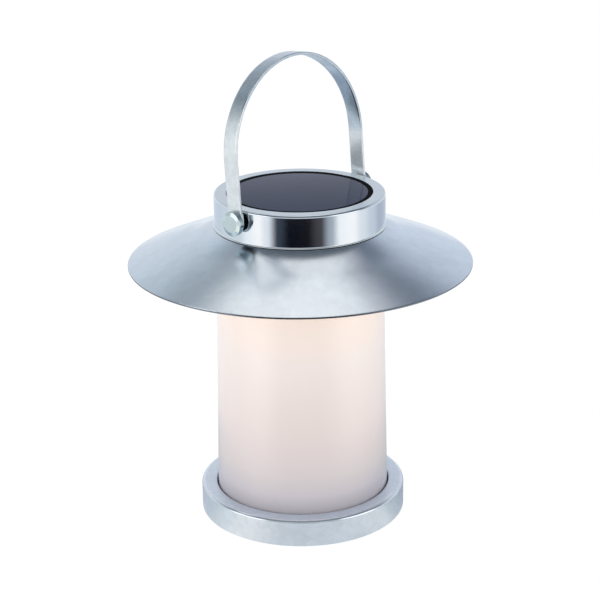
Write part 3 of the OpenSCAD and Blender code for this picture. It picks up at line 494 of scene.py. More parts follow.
def screws(name, node, body, count, first, ring):
    """Small pan-head screws with a cross recess, heads down, on a ring."""
    sizes = bpy.context.scene.lantern_sizes
    low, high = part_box(node)
    radius, head = sizes.screw_head / 2, sizes.screw_head_height
    reach = high.z - low.z - head
    core = sizes.screw_shank / 2 - THREAD_DEPTH * sizes.screw_pitch
    outline = eased([
        (0, -head, False), (radius * FACE_SHARE, -head, True), (radius, -head * EDGE_SHARE, True),
        (radius, 0, False), (core, 0, False), (core, reach - core, False), (core * 0.2, reach, False),
        (0, reach, False)], ease=0.25 * MM)
    piece = made_by_nodes(name, section_mesh(name, outline), shared_tree(screw_tree), {
        "Steps": 40, "Recess": radius * RECESS_SPAN, "Recess Depth": head * RECESS_DEPTH, "Head Height": head,
        "Shank Radius": core, "Length": reach - core, "Pitch": sizes.screw_pitch, "Copies": count,
        "First Angle": first, "Ring Radius": ring, "Height": low.z + head, "Tip": 0.0,
        "Material": finish("fastener_steel")})
    settle(piece, body, node, "hardware_steel", sharp=40)


def start_material(name):
    """An empty material with its surface shader and the place on the piece, in metres."""
    material = bpy.data.materials.new(name)
    material.use_nodes = True
    tree = material.node_tree
    tree.nodes.clear()
    shader = add_node(tree, "ShaderNodeBsdfPrincipled")
    add_node(tree, "ShaderNodeOutputMaterial", inputs={"Surface": shader})
    return material, tree, shader, add_node(tree, "ShaderNodeTexCoord").outputs["Object"]


def set_stops(ramp, stops):
    """Gives a colour ramp its stops, (position, colour)."""
    while len(ramp.elements) < len(stops):
        ramp.elements.new(0.5)
    for element, (position, rgb) in zip(ramp.elements, stops):
        element.position = position
        element.color = (*rgb, 1.0)


def shade(rgb, factor=1.0):
    """A colour made lighter or darker, with its alpha."""
    return (*(min(1.0, c * factor) for c in rgb), 1.0)


def within(tree, place, limits):
    """A share that rises from 0 to 1 along each limit, (axis, start, end); axis R is the distance from Z."""
    parts = add_node(tree, "ShaderNodeSeparateXYZ", inputs={0: place}).outputs
    flat = add_node(tree, "ShaderNodeCombineXYZ", inputs={0: parts["X"], 1: parts["Y"]})
    radius = add_node(tree, "ShaderNodeVectorMath", {"operation": "LENGTH"}, {0: flat})
    share = 1.0
    for axis, start, end in limits:
        rise = add_node(tree, "ShaderNodeMapRange", {"interpolation_type": "SMOOTHSTEP"}, {
            "Value": radius if axis == "R" else parts[axis], "From Min": start, "From Max": end})
        share = add_node(tree, "ShaderNodeMath", {"operation": "MULTIPLY"}, {0: share, 1: rise})
    return share


def edge_of(node, axis, *offsets):
    """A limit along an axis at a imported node's far side, moved by two offsets in millimetres."""
    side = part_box(node)[1]["XYZ".index("X" if axis == "R" else axis)]
    return (axis, *(side + offset * MM for offset in offsets))


def galvanised(name, rgb, rough, mottle, wave, speck=0.0, pit=0.0035, seam=None, worn=None, bloom=None,
               metal=1.0):
    """Zinc on sheet steel: crystals a few millimetres wide that differ a little in tone and polish,
    dull smears from handling, and a sheet that isn't quite flat, so its reflections waver. Waves and pits
    are in millimetres. Short of the limits of the painted shade the colour is darkened, a painted shadow
    under another piece's edge and a painted dark reflection at a cut edge; past the limits of worn it has
    another polish, (limits, roughness); short of the limits of a bloom, (finish colour, limits), it has a
    matt white oxide."""
    material, tree, shader, place = start_material(name)
    spangle = add_node(tree, "ShaderNodeTexVoronoi", inputs={"Vector": place, "Scale": 1 / (7 * MM)})
    crystal = add_node(tree, "ShaderNodeSeparateColor", inputs={0: spangle.outputs["Color"]})
    smear = add_node(tree, "ShaderNodeTexNoise", inputs={
        "Vector": place, "Scale": 1 / (24 * MM), "Detail": 4.0, "Roughness": 0.6})
    grain = add_node(tree, "ShaderNodeTexNoise", inputs={
        "Vector": place, "Scale": 1 / (1.4 * MM), "Detail": 2.0})
    tone = smear
    for pattern in (crystal, grain):
        tone = add_node(tree, "ShaderNodeMath", {"operation": "MULTIPLY_ADD"}, {0: pattern, 1: 0.25, 2: tone})
    tint = add_node(tree, "ShaderNodeMapRange", inputs={"Value": tone, "From Min": 0.45, "From Max": 1.05})
    tinted = add_node(tree, "ShaderNodeMix", {"data_type": "RGBA"}, {
        "Factor": tint, "A": shade(rgb, 1 - mottle), "B": shade(rgb, 1 + mottle)})
    if bloom:
        white = getattr(bpy.context.scene.lantern_finishes, bloom[0])
        clean = within(tree, place, bloom[1])
        tinted = add_node(tree, "ShaderNodeMix", {"data_type": "RGBA"}, {
            "Factor": clean, "A": shade(white), "B": tinted})
        metal = add_node(tree, "ShaderNodeMapRange", inputs={"Value": clean, "To Min": 0.45, "To Max": metal})
    if speck:
        fleck = add_node(tree, "ShaderNodeTexNoise", inputs={
            "Vector": place, "Scale": 1 / (5 * MM), "Detail": 4.0, "Roughness": 0.65})
        spread = add_node(tree, "ShaderNodeMapRange", {"interpolation_type": "SMOOTHSTEP"}, {
            "Value": fleck, "From Min": 0.36, "From Max": 0.66})
        level = add_node(tree, "ShaderNodeMix", {"data_type": "RGBA"}, {
            "Factor": spread, "A": (*[1 - speck] * 3, 1.0), "B": (*[1 + speck] * 3, 1.0)})
        tinted = add_node(tree, "ShaderNodeMix", {"data_type": "RGBA", "blend_type": "MULTIPLY"}, {
            "Factor": 1.0, "A": tinted, "B": level})
    # Painted shade: short of these limits the colour falls to 0.3 of the zinc's, a painted shadow under another
    # piece's edge and a painted dark reflection at a cut edge
    if seam:
        tinted = add_node(tree, "ShaderNodeMix", {"data_type": "RGBA"}, {
            "Factor": within(tree, place, seam), "A": shade(rgb, 0.3), "B": tinted})
    polish = add_node(tree, "ShaderNodeMapRange", inputs={
        "Value": tint, "To Min": rough * (1 + 2 * mottle), "To Max": rough * (1 - 2 * mottle)})
    if worn:
        polish = add_node(tree, "ShaderNodeMix", inputs={
            "Factor": within(tree, place, worn[0]), "A": polish, "B": worn[1]})
    sway = add_node(tree, "ShaderNodeTexNoise", inputs={"Vector": place, "Scale": 1 / (18 * MM), "Detail": 1.0})
    waver = add_node(tree, "ShaderNodeBump", inputs={"Strength": 1.0, "Distance": wave * MM, "Height": sway})
    pits = add_node(tree, "ShaderNodeBump", inputs={
        "Strength": 1.0, "Distance": pit * MM, "Height": grain, "Normal": waver})
    set_inputs(tree, shader, {"Base Color": tinted, "Metallic": metal, "Roughness": polish, "Normal": pits})
    return material


# Light through the opal wall, from its foot to its mouth
OPAL_GLOW = [
    (0.13, "#000000"), (0.22, "#675d48"), (0.38, "#8b7963"), (0.61, "#9d907a"), (0.84, "#bca17b"),
    (0.9, "#bea279"),
]


def opal_polypropylene(name, rgb):
    """Opal polypropylene, moulded: satin skin over a cloudy white wall that the diode lights from above,
    warm and bright under the brim and fading to a cool grey where the base hides the inside; painted
    shade darkens its colour from a little above the base downwards"""
    material, tree, shader, place = start_material(name)
    height = add_node(tree, "ShaderNodeSeparateXYZ", inputs={0: place}).outputs["Z"]
    low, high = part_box("diffuser")
    share = add_node(tree, "ShaderNodeMapRange", inputs={
        "Value": height, "From Min": low.z, "From Max": high.z})
    glow = add_node(tree, "ShaderNodeValToRGB", inputs={0: share})
    set_stops(glow.color_ramp, [(position, hex_linear(code)) for position, code in OPAL_GLOW])
    cloud = add_node(tree, "ShaderNodeTexNoise", inputs={
        "Vector": place, "Scale": 1 / (40 * MM), "Detail": 2.0})
    clouded = add_node(tree, "ShaderNodeMix", {"data_type": "RGBA"}, {
        "Factor": cloud, "A": shade(rgb, 0.97), "B": shade(rgb, 1.03)})
    # Painted shade: the colour darkens to 0.74 of itself going down from 14 mm above the base pan's top to 2 mm
    # below it, where the pan's ring shades the wall
    opal_with_painted_foot_shade = add_node(tree, "ShaderNodeMix", {"data_type": "RGBA"}, {
        "Factor": within(tree, place, [edge_of("base_pan", "Z", -2, 14)]), "A": shade(rgb, 0.74),
        "B": clouded})
    skin = add_node(tree, "ShaderNodeTexNoise", inputs={
        "Vector": place, "Scale": 1 / (0.9 * MM), "Detail": 2.0})
    bump = add_node(tree, "ShaderNodeBump", inputs={"Strength": 0.2, "Distance": 0.01 * MM, "Height": skin})
    set_inputs(tree, shader, {
        "Base Color": opal_with_painted_foot_shade, "Roughness": 0.34, "IOR": 1.49, "Coat Weight": 0.75, "Coat Roughness": 0.24,
        "Emission Color": glow, "Emission Strength": 1.0, "Normal": bump})
    return material


def solar_laminate(name, rgb):
    """Thin-film cell behind glass: nearly black blue-violet, scribed into strips that only just show,
    under a glossy face."""
    material, tree, shader, place = start_material(name)
    across = add_node(tree, "ShaderNodeSeparateXYZ", inputs={0: place}).outputs["X"]
    strip = add_node(tree, "ShaderNodeMath", {"operation": "MULTIPLY"}, {0: across, 1: 1 / (9 * MM)})
    share = add_node(tree, "ShaderNodeMath", {"operation": "FRACT"}, {0: strip})
    # A scribed line is about 0.1 mm wide; it is drawn 0.35 mm wide so that it can show at all
    line = add_node(tree, "ShaderNodeMath", {"operation": "LESS_THAN"}, {0: share, 1: 0.04})
    film = add_node(tree, "ShaderNodeTexNoise", inputs={"Vector": place, "Scale": 1 / (30 * MM), "Detail": 1.0})
    cell = add_node(tree, "ShaderNodeMix", {"data_type": "RGBA"}, {
        "Factor": film, "A": shade(rgb, 0.85), "B": shade(rgb, 1.15)})
    lined = add_node(tree, "ShaderNodeMix", {"data_type": "RGBA"}, {
        "Factor": line, "A": cell, "B": shade(rgb, 1.35)})
    dust = add_node(tree, "ShaderNodeTexNoise", inputs={"Vector": place, "Scale": 1 / (5 * MM), "Detail": 4.0})
    polish = add_node(tree, "ShaderNodeMapRange", inputs={"Value": dust, "To Min": 0.03, "To Max": 0.1})
    set_inputs(tree, shader, {
        "Base Color": lined, "Roughness": polish, "IOR": 1.5, "Specular IOR Level": 0.05,
        "Specular Tint": shade(hex_linear("#d2dcff"))})
    return material


def moulded(name, rgb, rough, grit, ior=1.53, extra=None):
    """Moulded plastic or rubber: one colour with slight flow shading and an eroded mould's fine grit, in
    millimetres."""
    material, tree, shader, place = start_material(name)
    flow = add_node(tree, "ShaderNodeTexNoise", inputs={"Vector": place, "Scale": 1 / (14 * MM), "Detail": 2.0})
    mixed = add_node(tree, "ShaderNodeMix", {"data_type": "RGBA"}, {
        "Factor": flow, "A": shade(rgb, 0.9), "B": shade(rgb, 1.1)})
    texture = add_node(tree, "ShaderNodeTexNoise", inputs={
        "Vector": place, "Scale": 1 / (grit * MM), "Detail": 3.0})
    bump = add_node(tree, "ShaderNodeBump", inputs={"Strength": 0.4, "Distance": 0.02 * MM, "Height": texture})
    polish = add_node(tree, "ShaderNodeMapRange", inputs={
        "Value": texture, "To Min": rough * 0.85, "To Max": rough * 1.15})
    set_inputs(tree, shader, {
        "Base Color": mixed, "Roughness": polish, "IOR": ior, "Normal": bump, **(extra or {})})
    return material


def masked_board(name, rgb):
    """Glass-fibre board under green solder mask: darker bare mask between wide raised tracks."""
    material, tree, shader, place = start_material(name)
    tracks = add_node(tree, "ShaderNodeTexBrick", inputs={
        "Vector": place, "Scale": 1 / (9 * MM), "Mortar Size": 0.06, "Mortar Smooth": 0.2,
        "Color1": shade(rgb, 1.1), "Color2": shade(rgb, 0.9), "Mortar": shade(rgb, 0.55)})
    bump = add_node(tree, "ShaderNodeBump", inputs={
        "Strength": 0.3, "Distance": 0.04 * MM, "Height": tracks.outputs["Fac"]})
    set_inputs(tree, shader, {"Base Color": tracks, "Roughness": 0.35, "Normal": bump})
    return material


# Each finish: how it is made, the colour that a user can set, and its other settings
FINISHES = {
    # Hot-dip zinc, rolled with the sheet: satin, so the collar and the screw still mirror in it, a little
    # duller towards the rim; painted shadow darkens it just under the collar's foot and a painted dark
    # reflection darkens the rim's cut edge
    "satin_galvanised_sheet": (galvanised, "sheet", dict(
        rough=0.215, mottle=0.05, wave=0.012, speck=0.012, pit=0.006,
        seam=[edge_of("collar", "R", 0.4, 1.0), edge_of("brim", "R", -0.28, -0.4)],
        worn=([edge_of("collar", "R", 6, 26)], 0.235))),
    # Hot-dip zinc on the pressed base: dull and flecked, white on its flat top, burnished along its fold
    "flecked_galvanised_sheet": (galvanised, "pressed", dict(
        rough=0.36, mottle=0.06, wave=0.02, speck=0.03, metal=0.75,
        worn=([edge_of("base_pan", "R", -3, -2), edge_of("base_pan", "Z", -3, -2)], 0.1),
        bloom=("pan_bloom", [edge_of("base_pan", "Z", -0.1, -0.5)]))),
    # Hot-dip zinc on the bent strap: flecked, shiny enough to show bands of light, whitened on one leg
    # and at the foot of the other
    "flecked_galvanised_strap": (galvanised, "strap", dict(
        rough=0.21, mottle=0.08, wave=0.02, speck=0.06,
        bloom=("bloom", [edge_of("handle_strap", "X", -120.3, -107.3), edge_of("pivot_screws", "Z", 24, 34)]))),
    # Electroplated zinc over polished steel: close to a mirror with a fine grain, duller on its flat
    # top and whitened along its foot
    "bright_zinc_plate": (galvanised, "plate", dict(
        rough=0.06, mottle=0.03, wave=0.004, pit=0.007,
        worn=([edge_of("collar", "Z", -0.3, -0.1)], 0.28),
        bloom=("bloom", [edge_of("collar", "R", 0.2, 0.02)]))),
    # The same plate on a turned head and on spring contacts: duller, a little green
    "turned_zinc_plate": (galvanised, "turned", dict(rough=0.13, mottle=0.05, wave=0.004, pit=0.006)),
    # Thin zinc on cold-headed steel: grey and evenly dull
    "fastener_steel": (galvanised, "steel", dict(rough=0.3, mottle=0.06, wave=0.004)),
    "opal_polypropylene": (opal_polypropylene, "opal", {}),
    "solar_laminate": (solar_laminate, "panel", {}),
    # ABS from an eroded mould: so dark and matt that it hardly mirrors the studio
    "black_moulded_abs": (moulded, "black", dict(rough=0.45, grit=0.4, extra={"Specular IOR Level": 0.004})),
    # Rubber: coarse and without gloss
    "moulded_rubber": (moulded, "rubber", dict(rough=0.7, grit=0.8, ior=1.52)),
    # White ABS: satin, a little uneven
    "white_moulded_abs": (moulded, "white", dict(rough=0.42, grit=0.4)),
    "masked_board": (masked_board, "board", {}),
    # Film shrunk on a can: glossy, with shallow ripples
    "shrink_sleeve": (moulded, "sleeve", dict(rough=0.25, grit=2, ior=1.5)),
    # Extruded PVC: soft gloss
    "red_wire_pvc": (moulded, "red_wire", dict(rough=0.4, grit=0.5)),
    "black_wire_pvc": (moulded, "black_wire", dict(rough=0.4, grit=0.5)),
    # Cast epoxy round the lit diode: clear gloss with the light in it
    "lit_led_epoxy": (moulded, "diode", dict(rough=0.1, grit=1, ior=1.54, extra={
        "Emission Color": shade(hex_linear("#ffdca0")), "Emission Strength": 2.0})),
}
MADE = {}


def finish(name):
    """A material by its finish, made once."""
    if name not in MADE:
        make, rgb, settings = FINISHES[name]
        MADE[name] = make(name, getattr(bpy.context.scene.lantern_finishes, rgb), **settings)
    return MADE[name]


class LanternOperator:
    """What the lantern's operators share."""

    bl_options = {"REGISTER", "UNDO"}


class LANTERN_OT_base(LanternOperator, bpy.types.Operator):
    """Makes the base pan, its crimped plate, rubber feet and screws"""

    bl_idname = "lantern.base"
    bl_label = "Base"

    def execute(self, context):
        sizes = context.scene.lantern_sizes
        low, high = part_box("base_pan")
        half = sizes.sheet / 2
        hole = sizes.pan_hole + half
        corners = [Vector(corner) for corner in (
            (sizes.pan_hem, low.z + half), (high.x - half, low.z + half), (high.x - half, high.z - half),
            (hole, high.z - half), (hole, high.z - sizes.pan_lip))]
        bends = [0, sizes.pan_hem_fold - half, sizes.pan_fold - half, sizes.pan_lip_fold - half, 0]
        turned("base_pan_sheet", bent_sheet(corners, bends, sizes.sheet, sizes.cut_edge),
               "flecked_galvanised_sheet", "base", "base_pan", "zinc_sheet")
        moulded_copy("base_plate_disc", "base_plate", "flecked_galvanised_sheet", "base", "zinc_sheet")
        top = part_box("base_feet")[1].z
        radius, chamfer = sizes.foot_radius, 0.25 * top
        foot = eased([
            (0, 0, False), (radius - chamfer, 0, True), (radius, chamfer, True), (radius, top, True),
            (0, top, False)], ease=0.2 * MM)
        turned("base_feet_pads", foot, "moulded_rubber", "base", "base_feet", "black_rubber", steps=64,
               copies=4, first_angle=math.radians(45), ring_radius=sizes.foot_ring)
        screws("base_screws_pan_head", "base_screws", "base", 3, math.radians(90), sizes.boss_ring)
        return {"FINISHED"}


class LANTERN_OT_diffuser(LanternOperator, bpy.types.Operator):
    """Makes the opal sleeve with the screw bosses in its foot"""

    bl_idname = "lantern.diffuser"
    bl_label = "Diffuser"

    def execute(self, context):
        sizes = context.scene.lantern_sizes
        low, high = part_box("diffuser")
        wall = sizes.diffuser_wall
        foot = high.x
        mouth = foot - (high.z - low.z) * math.tan(sizes.diffuser_draft)
        sleeve = eased([
            (foot, low.z, True), (mouth, high.z, True), (mouth - wall, high.z, True),
            (foot - wall, low.z, True)], ease=0.35 * MM)
        turned("diffuser_sleeve", close_outline(sleeve), "opal_polypropylene", "base", "diffuser",
               "opal_plastic")
        seat, top = low.z + sizes.boss_seat, sizes.boss_top
        bore, radius = sizes.boss_bore, sizes.boss_radius
        boss = eased([(bore, seat, False), (radius, seat, False), (radius, top, True), (bore, top, True)],
                     ease=0.3 * MM)
        turned("diffuser_bosses", close_outline(boss), "opal_polypropylene", "base", "diffuser",
               "opal_plastic", steps=48, copies=3, first_angle=math.radians(90), ring_radius=sizes.boss_ring)
        return {"FINISHED"}


class LANTERN_OT_brim(LanternOperator, bpy.types.Operator):
    """Makes the spun brim with its long crowned slope"""

    bl_idname = "lantern.brim"
    bl_label = "Brim"

    def execute(self, context):
        sizes = context.scene.lantern_sizes
        rim, ring_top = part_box("brim")[1].x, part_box("brim")[1].z
        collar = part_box("collar")[1].x
        run, drop, crown = rim - collar, sizes.brim_drop, sizes.brim_crown
        # The slope is an arc through the collar's foot and the rim, moved so that it meets the flat ring
        chord = math.hypot(run, drop)
        bow = chord * chord / (8 * crown) + crown / 2
        centre = Vector(((rim + collar) / 2 - (bow - crown) * drop / chord, -(bow - crown) * run / chord))
        centre.y += ring_top - centre.y - math.sqrt(bow ** 2 - (sizes.brim_neck - centre.x) ** 2)
        half = sizes.sheet / 2
        start = math.acos((sizes.brim_neck - centre.x) / bow)
        end = math.acos((rim - centre.x) / bow)
        # Beside the collar it is steeper for a while, which the rest of the slope makes up for
        flare, fade = math.tan(sizes.brim_flare), sizes.flare_fade
        steps = 72
        slope = []
        for k in range(steps + 1):
            along = start + (end - start) * k / steps
            point = centre + Vector((math.cos(along), math.sin(along))) * (bow - half)
            past = max(0.0, point.x - collar)
            t = min(max((past - sizes.flare_run) / fade, 0.0), 1.0)
            dip = min(past, sizes.flare_run) + fade * (t - t ** 3 + t ** 4 / 2)
            point.y -= flare * (dip - (sizes.flare_run + fade / 2) * past / run)
            slope.append(point)
        corners = [Vector((sizes.brim_ring, ring_top - half)), *slope]
        outline = bent_sheet(corners, [0] * len(corners), sizes.sheet, sizes.cut_edge, level_end=True)
        turned("brim_spun_sheet", outline, "satin_galvanised_sheet", "head", "brim", "zinc_sheet", sharp=15)
        return {"FINISHED"}


class LANTERN_OT_collar(LanternOperator, bpy.types.Operator):
    """Makes the shiny collar with its folded flange and its curled and flared foot"""

    bl_idname = "lantern.collar"
    bl_label = "Collar"

    def execute(self, context):
        sizes = context.scene.lantern_sizes
        low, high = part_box("collar")
        half = sizes.sheet / 2
        foot = low.z - sizes.collar_seat
        corners = [Vector(corner) for corner in (
            (sizes.collar_opening, high.z - half), (high.x - half, high.z - half),
            (high.x - half, foot + half), (high.x - sizes.collar_curl, foot + half))]
        # The curl's bend stays short of the corner's end
        bends = [0, sizes.collar_fold - half, sizes.collar_curl - half - 0.01 * MM, 0]
        turned("collar_bright_band", bent_sheet(corners, bends, sizes.sheet, sizes.cut_edge),
               "bright_zinc_plate", "head", "collar", "bright_zinc")
        out, edge = sizes.lip_width, foot + sizes.lip_lift
        sweep = [Vector((high.x + out * (1 - math.cos(math.radians(a))),
                         edge + out + sizes.lip_rise - out * math.sin(math.radians(a))))
                 for a in range(0, 91, 10)]
        lip = [Vector((high.x - half, edge)), Vector((high.x - half, sweep[0].y)), *sweep,
               Vector((high.x + out, edge))]
        turned("collar_foot_lip", close_outline(lip), "bright_zinc_plate", "head", "collar", "bright_zinc")
        return {"FINISHED"}


def strap_blank(width, reach, hole, rays=48, rings=3, steps=150):
    """Flat strap along X, with round ends about its two pivot holes."""
    half = width / 2
    shape = bmesh.new()
    for far_end in (False, True):
        grid = []
        for k in range(rays):
            turn = math.tau * (k + 0.5) / rays
            c, s = math.cos(turn), math.sin(turn)
            edge = half / max(c, abs(s)) if c > 0 else half
            row = []
            for j in range(rings + 1):
                r = hole + (edge - hole) * j / rings
                row.append(shape.verts.new((reach - r * c if far_end else r * c, r * s, 0)))
            grid.append(row)
        for k in range(rays):
            a, b = grid[k], grid[(k + 1) % rays]
            for j in range(rings):
                shape.faces.new((a[j], a[j + 1], b[j + 1], b[j]))
    offsets = [half * math.tan(math.tau * (k + 0.5) / rays) for k in range(-rays // 8, rays // 8)]
    rows = [[shape.verts.new((half + (reach - width) * i / steps, y, 0)) for y in offsets]
            for i in range(steps + 1)]
    for a, b in zip(rows, rows[1:]):
        for j in range(len(offsets) - 1):
            shape.faces.new((a[j], b[j], b[j + 1], a[j + 1]))
    bmesh.ops.remove_doubles(shape, verts=shape.verts, dist=10 * WELD)
    bmesh.ops.recalc_face_normals(shape, faces=shape.faces)
    mesh = bpy.data.meshes.new("strap_blank")
    shape.to_mesh(mesh)
    shape.free()
    return mesh


class LANTERN_OT_handle(LanternOperator, bpy.types.Operator):
    """Bends a flat strap into the bail handle"""

    bl_idname = "lantern.handle"
    bl_label = "Handle"

    def execute(self, context):
        sizes = context.scene.lantern_sizes
        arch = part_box("handle_strap")[1].x - sizes.strap_thickness / 2
        blank = strap_blank(sizes.strap_width, 2 * sizes.strap_leg + math.pi * arch, sizes.strap_hole)
        thick = {"thickness": sizes.strap_thickness, "offset": 0.0}
        edges = {"width": sizes.strap_ease, "segments": 3, "limit_method": "ANGLE",
                 "angle_limit": math.radians(50)}
        strap = made_by_nodes(
            "handle_bent_strap", blank, shared_tree(bail_tree),
            {"Leg": sizes.strap_leg, "Arch Radius": arch, "Lean": sizes.handle_lean,
             "Height": sizes.pivot_height, "Material": finish("flecked_galvanised_strap")},
            before=[("SOLIDIFY", thick), ("BEVEL", edges)])
        settle(strap, "handle", "handle_strap", "zinc_sheet", sharp=40)
        return {"FINISHED"}


class LANTERN_OT_pivots(LanternOperator, bpy.types.Operator):
    """Makes the large pivot screws and the black spacers behind the strap"""

    bl_idname = "lantern.pivots"
    bl_label = "Pivots"

    def execute(self, context):
        sizes = context.scene.lantern_sizes
        across = {"steps": 96, "copies": 2, "height": sizes.pivot_height, "tip": math.radians(90)}
        low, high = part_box("pivot_screws")
        radius, tip = (high.z - low.z) / 2, high.x
        head = tip - sizes.pivot_head
        shoulder = head - sizes.shoulder
        end, thread = sizes.pivot_end, sizes.pivot_thread
        screw = eased([
            (0, end, False), (sizes.pivot_tip, end, False), (thread, end + sizes.pivot_point, False),
            (thread, shoulder, False), (sizes.shoulder_radius, shoulder, False),
            (sizes.shoulder_radius, head, False), (radius, head, True),
            (radius, tip - sizes.head_fall, True), (radius - sizes.head_chamfer, tip, True),
            (0, tip, False)], ease=0.3 * MM)
        turned("pivot_screws_turned", screw, "turned_zinc_plate", "head", "pivot_screws", "bright_zinc",
               **across)
        low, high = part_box("pivot_spacers")
        inner, outer = sizes.spacer_bore, (high.z - low.z) / 2
        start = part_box("collar")[1].x - sizes.spacer_seat
        disc = eased([
            (inner, start, False), (outer, start, True), (outer, high.x, True), (inner, high.x, False)],
            ease=0.3 * MM)
        turned("pivot_spacers_discs", close_outline(disc), "black_moulded_abs", "head", "pivot_spacers",
               "black_rubber", **across)
        return {"FINISHED"}


class LANTERN_OT_panel(LanternOperator, bpy.types.Operator):
    """Makes the solar panel and the black housing round it"""

    bl_idname = "lantern.panel"
    bl_label = "Solar panel"

    def execute(self, context):
        low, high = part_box("solar_panel")
        rim, dome, steps = high.x, context.scene.lantern_sizes.panel_dome, 12
        face = [(rim * k / steps, high.z + dome * (1 - (k / steps) ** 2), k == steps)
                for k in range(steps, -1, -1)]
        outline = eased([(0, low.z, False), (rim, low.z, True), *face], ease=0.25 * MM)
        turned("solar_panel_laminate", outline, "solar_laminate", "head", "solar_panel", "solar_glass")
        moulded_copy("panel_housing_moulding", "panel_housing", "black_moulded_abs", "head", "black_plastic")
        return {"FINISHED"}


class LANTERN_OT_module(LanternOperator, bpy.types.Operator):
    """Dresses the lamp module with its door, diode, switch, seal and screws"""

    bl_idname = "lantern.module"
    bl_label = "Lamp module"

    def execute(self, context):
        for name, node, surface, body, slot in (
            ("lamp_module_moulding", "lamp_module", "white_moulded_abs", "head", "white_plastic"),
            ("battery_door_moulding", "battery_door", "white_moulded_abs", "head", "white_plastic"),
            ("switch_knob_moulding", "switch_knob", "black_moulded_abs", "switch", "black_plastic"),
            ("led_lens", "led", "lit_led_epoxy", "head", "led_resin"),
        ):
            moulded_copy(name, node, surface, body, slot)
        low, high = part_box("seal_ring")
        section, steps = (high.z - low.z) / 2, 16
        centre = Vector((high.x - section, (low.z + high.z) / 2))
        ring = [centre + Vector((math.cos(math.tau * k / steps), math.sin(math.tau * k / steps))) * section
                for k in range(steps + 1)]
        turned("seal_ring_rubber", ring, "moulded_rubber", "head", "seal_ring", "black_rubber")
        low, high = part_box("door_screw")
        middle = (low + high).xy / 2
        screws("door_screw_pan_head", "door_screw", "head", 1, math.atan2(middle.y, middle.x), middle.length)
        ring_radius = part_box("module_screws")[1].y - context.scene.lantern_sizes.screw_head / 2
        screws("module_screws_pan_head", "module_screws", "head", 3, math.radians(90), ring_radius)
        return {"FINISHED"}


INNER_FINISHES = {
    "fastener_steel": ["pivot_washers", "pivot_nuts", "pivot_brackets", "bracket_rivets", "board_screws"],
    "turned_zinc_plate": ["contact_spring", "contact_plate"],
    "moulded_rubber": ["panel_gasket"],
    "black_moulded_abs": ["switch_body"],
    "masked_board": ["circuit_board"],
    "shrink_sleeve": ["battery_cell"],
    "red_wire_pvc": ["panel_lead_red", "battery_lead_red"],
    "black_wire_pvc": ["panel_lead_black", "battery_lead_black"],
}


class LANTERN_OT_inside(LanternOperator, bpy.types.Operator):
    """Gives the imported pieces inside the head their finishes"""

    bl_idname = "lantern.inside"
    bl_label = "Inside"

    def execute(self, context):
        for name, nodes in INNER_FINISHES.items():
            for node in nodes:
                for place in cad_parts[node].material_slots:
                    place.material = finish(name)
        return {"FINISHED"}


# The camera, fitted to the outlines: a long lens from the left front, in metres, radians and pixels
PICTURE_PX = 600
CAMERA_TURN = math.radians(47.2)
CAMERA_BACK, CAMERA_UP = 1.17688, 0.57405
CAMERA_PITCH, CAMERA_ROLL = 0.3434, 0.0116
FOCAL_PX, AXIS_PX = 1817.74, 300.8147
SENSOR = 36.0
# Level directions away from the camera and to its right
AWAY = Vector((math.sin(CAMERA_TURN), math.cos(CAMERA_TURN), 0))
RIGHT = Vector((AWAY.y, -AWAY.x, 0))

# Light of the studio's left wall, right wall and the side before the lantern, by degrees upwards
WALL_STOPS = (
    [(0, (0.88, 0.92, 0.98)), (14, (0.9, 0.93, 0.97)), (26, (0.84, 0.88, 0.92)), (34, (0.72, 0.77, 0.82)),
     (45, (0.38, 0.43, 0.46)), (55, (0.34, 0.37, 0.39)), (66, (0.15, 0.15, 0.15))],
    [(0, (0.79, 0.85, 0.95)), (14, (0.83, 0.88, 0.96)), (26, (0.78, 0.83, 0.9)), (34, (0.64, 0.69, 0.76)),
     (44, (0.18, 0.2, 0.25)), (55, (0.17, 0.2, 0.25)), (66, (0.2, 0.22, 0.25))],
    [(0, (0.85, 0.88, 0.91)), (12, (0.7, 0.75, 0.79)), (26, (0.32, 0.38, 0.42)), (38, (0.14, 0.18, 0.21)),
     (80, (0.2, 0.21, 0.23))],
)
# How far to the right, and to the camera's side, one wall fades into the next
WALL_TURN, WALL_FRONT = (-0.25, 0.35), (-0.1, -0.5)
# White panels on either side: degrees from the camera's side of their near and far edges, and degrees
# upwards of their tops, each from unlit to lit
PANEL_INNER, PANEL_OUTER, PANEL_TOP = (36, 48), (92, 78), (34, 22)
PANEL_LIGHT = (1.8, 1.78, 1.76, 1.0)

# What polished metal sees on the floor, by degrees to the right of the camera's side: a black card ahead,
# a white reflector on either side and the lantern's shade behind
FLOOR_STOPS = [
    (-180, (0.7, 0.77, 0.86)), (-150, (0.78, 0.86, 0.95)), (-100, (0.95, 0.99, 1.03)),
    (-84, (0.98, 1.01, 1.04)), (-72, (1.3, 1.3, 1.3)), (-55, (1.56, 1.45, 1.38)), (-43, (1.2, 1.18, 1.2)),
    (-28, (0.06, 0.07, 0.1)), (-12, (0.005, 0.007, 0.012)), (8, (0.01, 0.01, 0.015)),
    (26, (0.09, 0.08, 0.09)), (40, (0.58, 0.62, 0.67)), (54, (1.45, 1.4, 1.35)), (72, (1.55, 1.45, 1.4)),
    (88, (1.15, 1.14, 1.16)), (108, (0.87, 0.92, 0.98)), (130, (0.6, 0.66, 0.76)), (180, (0.7, 0.77, 0.86)),
]
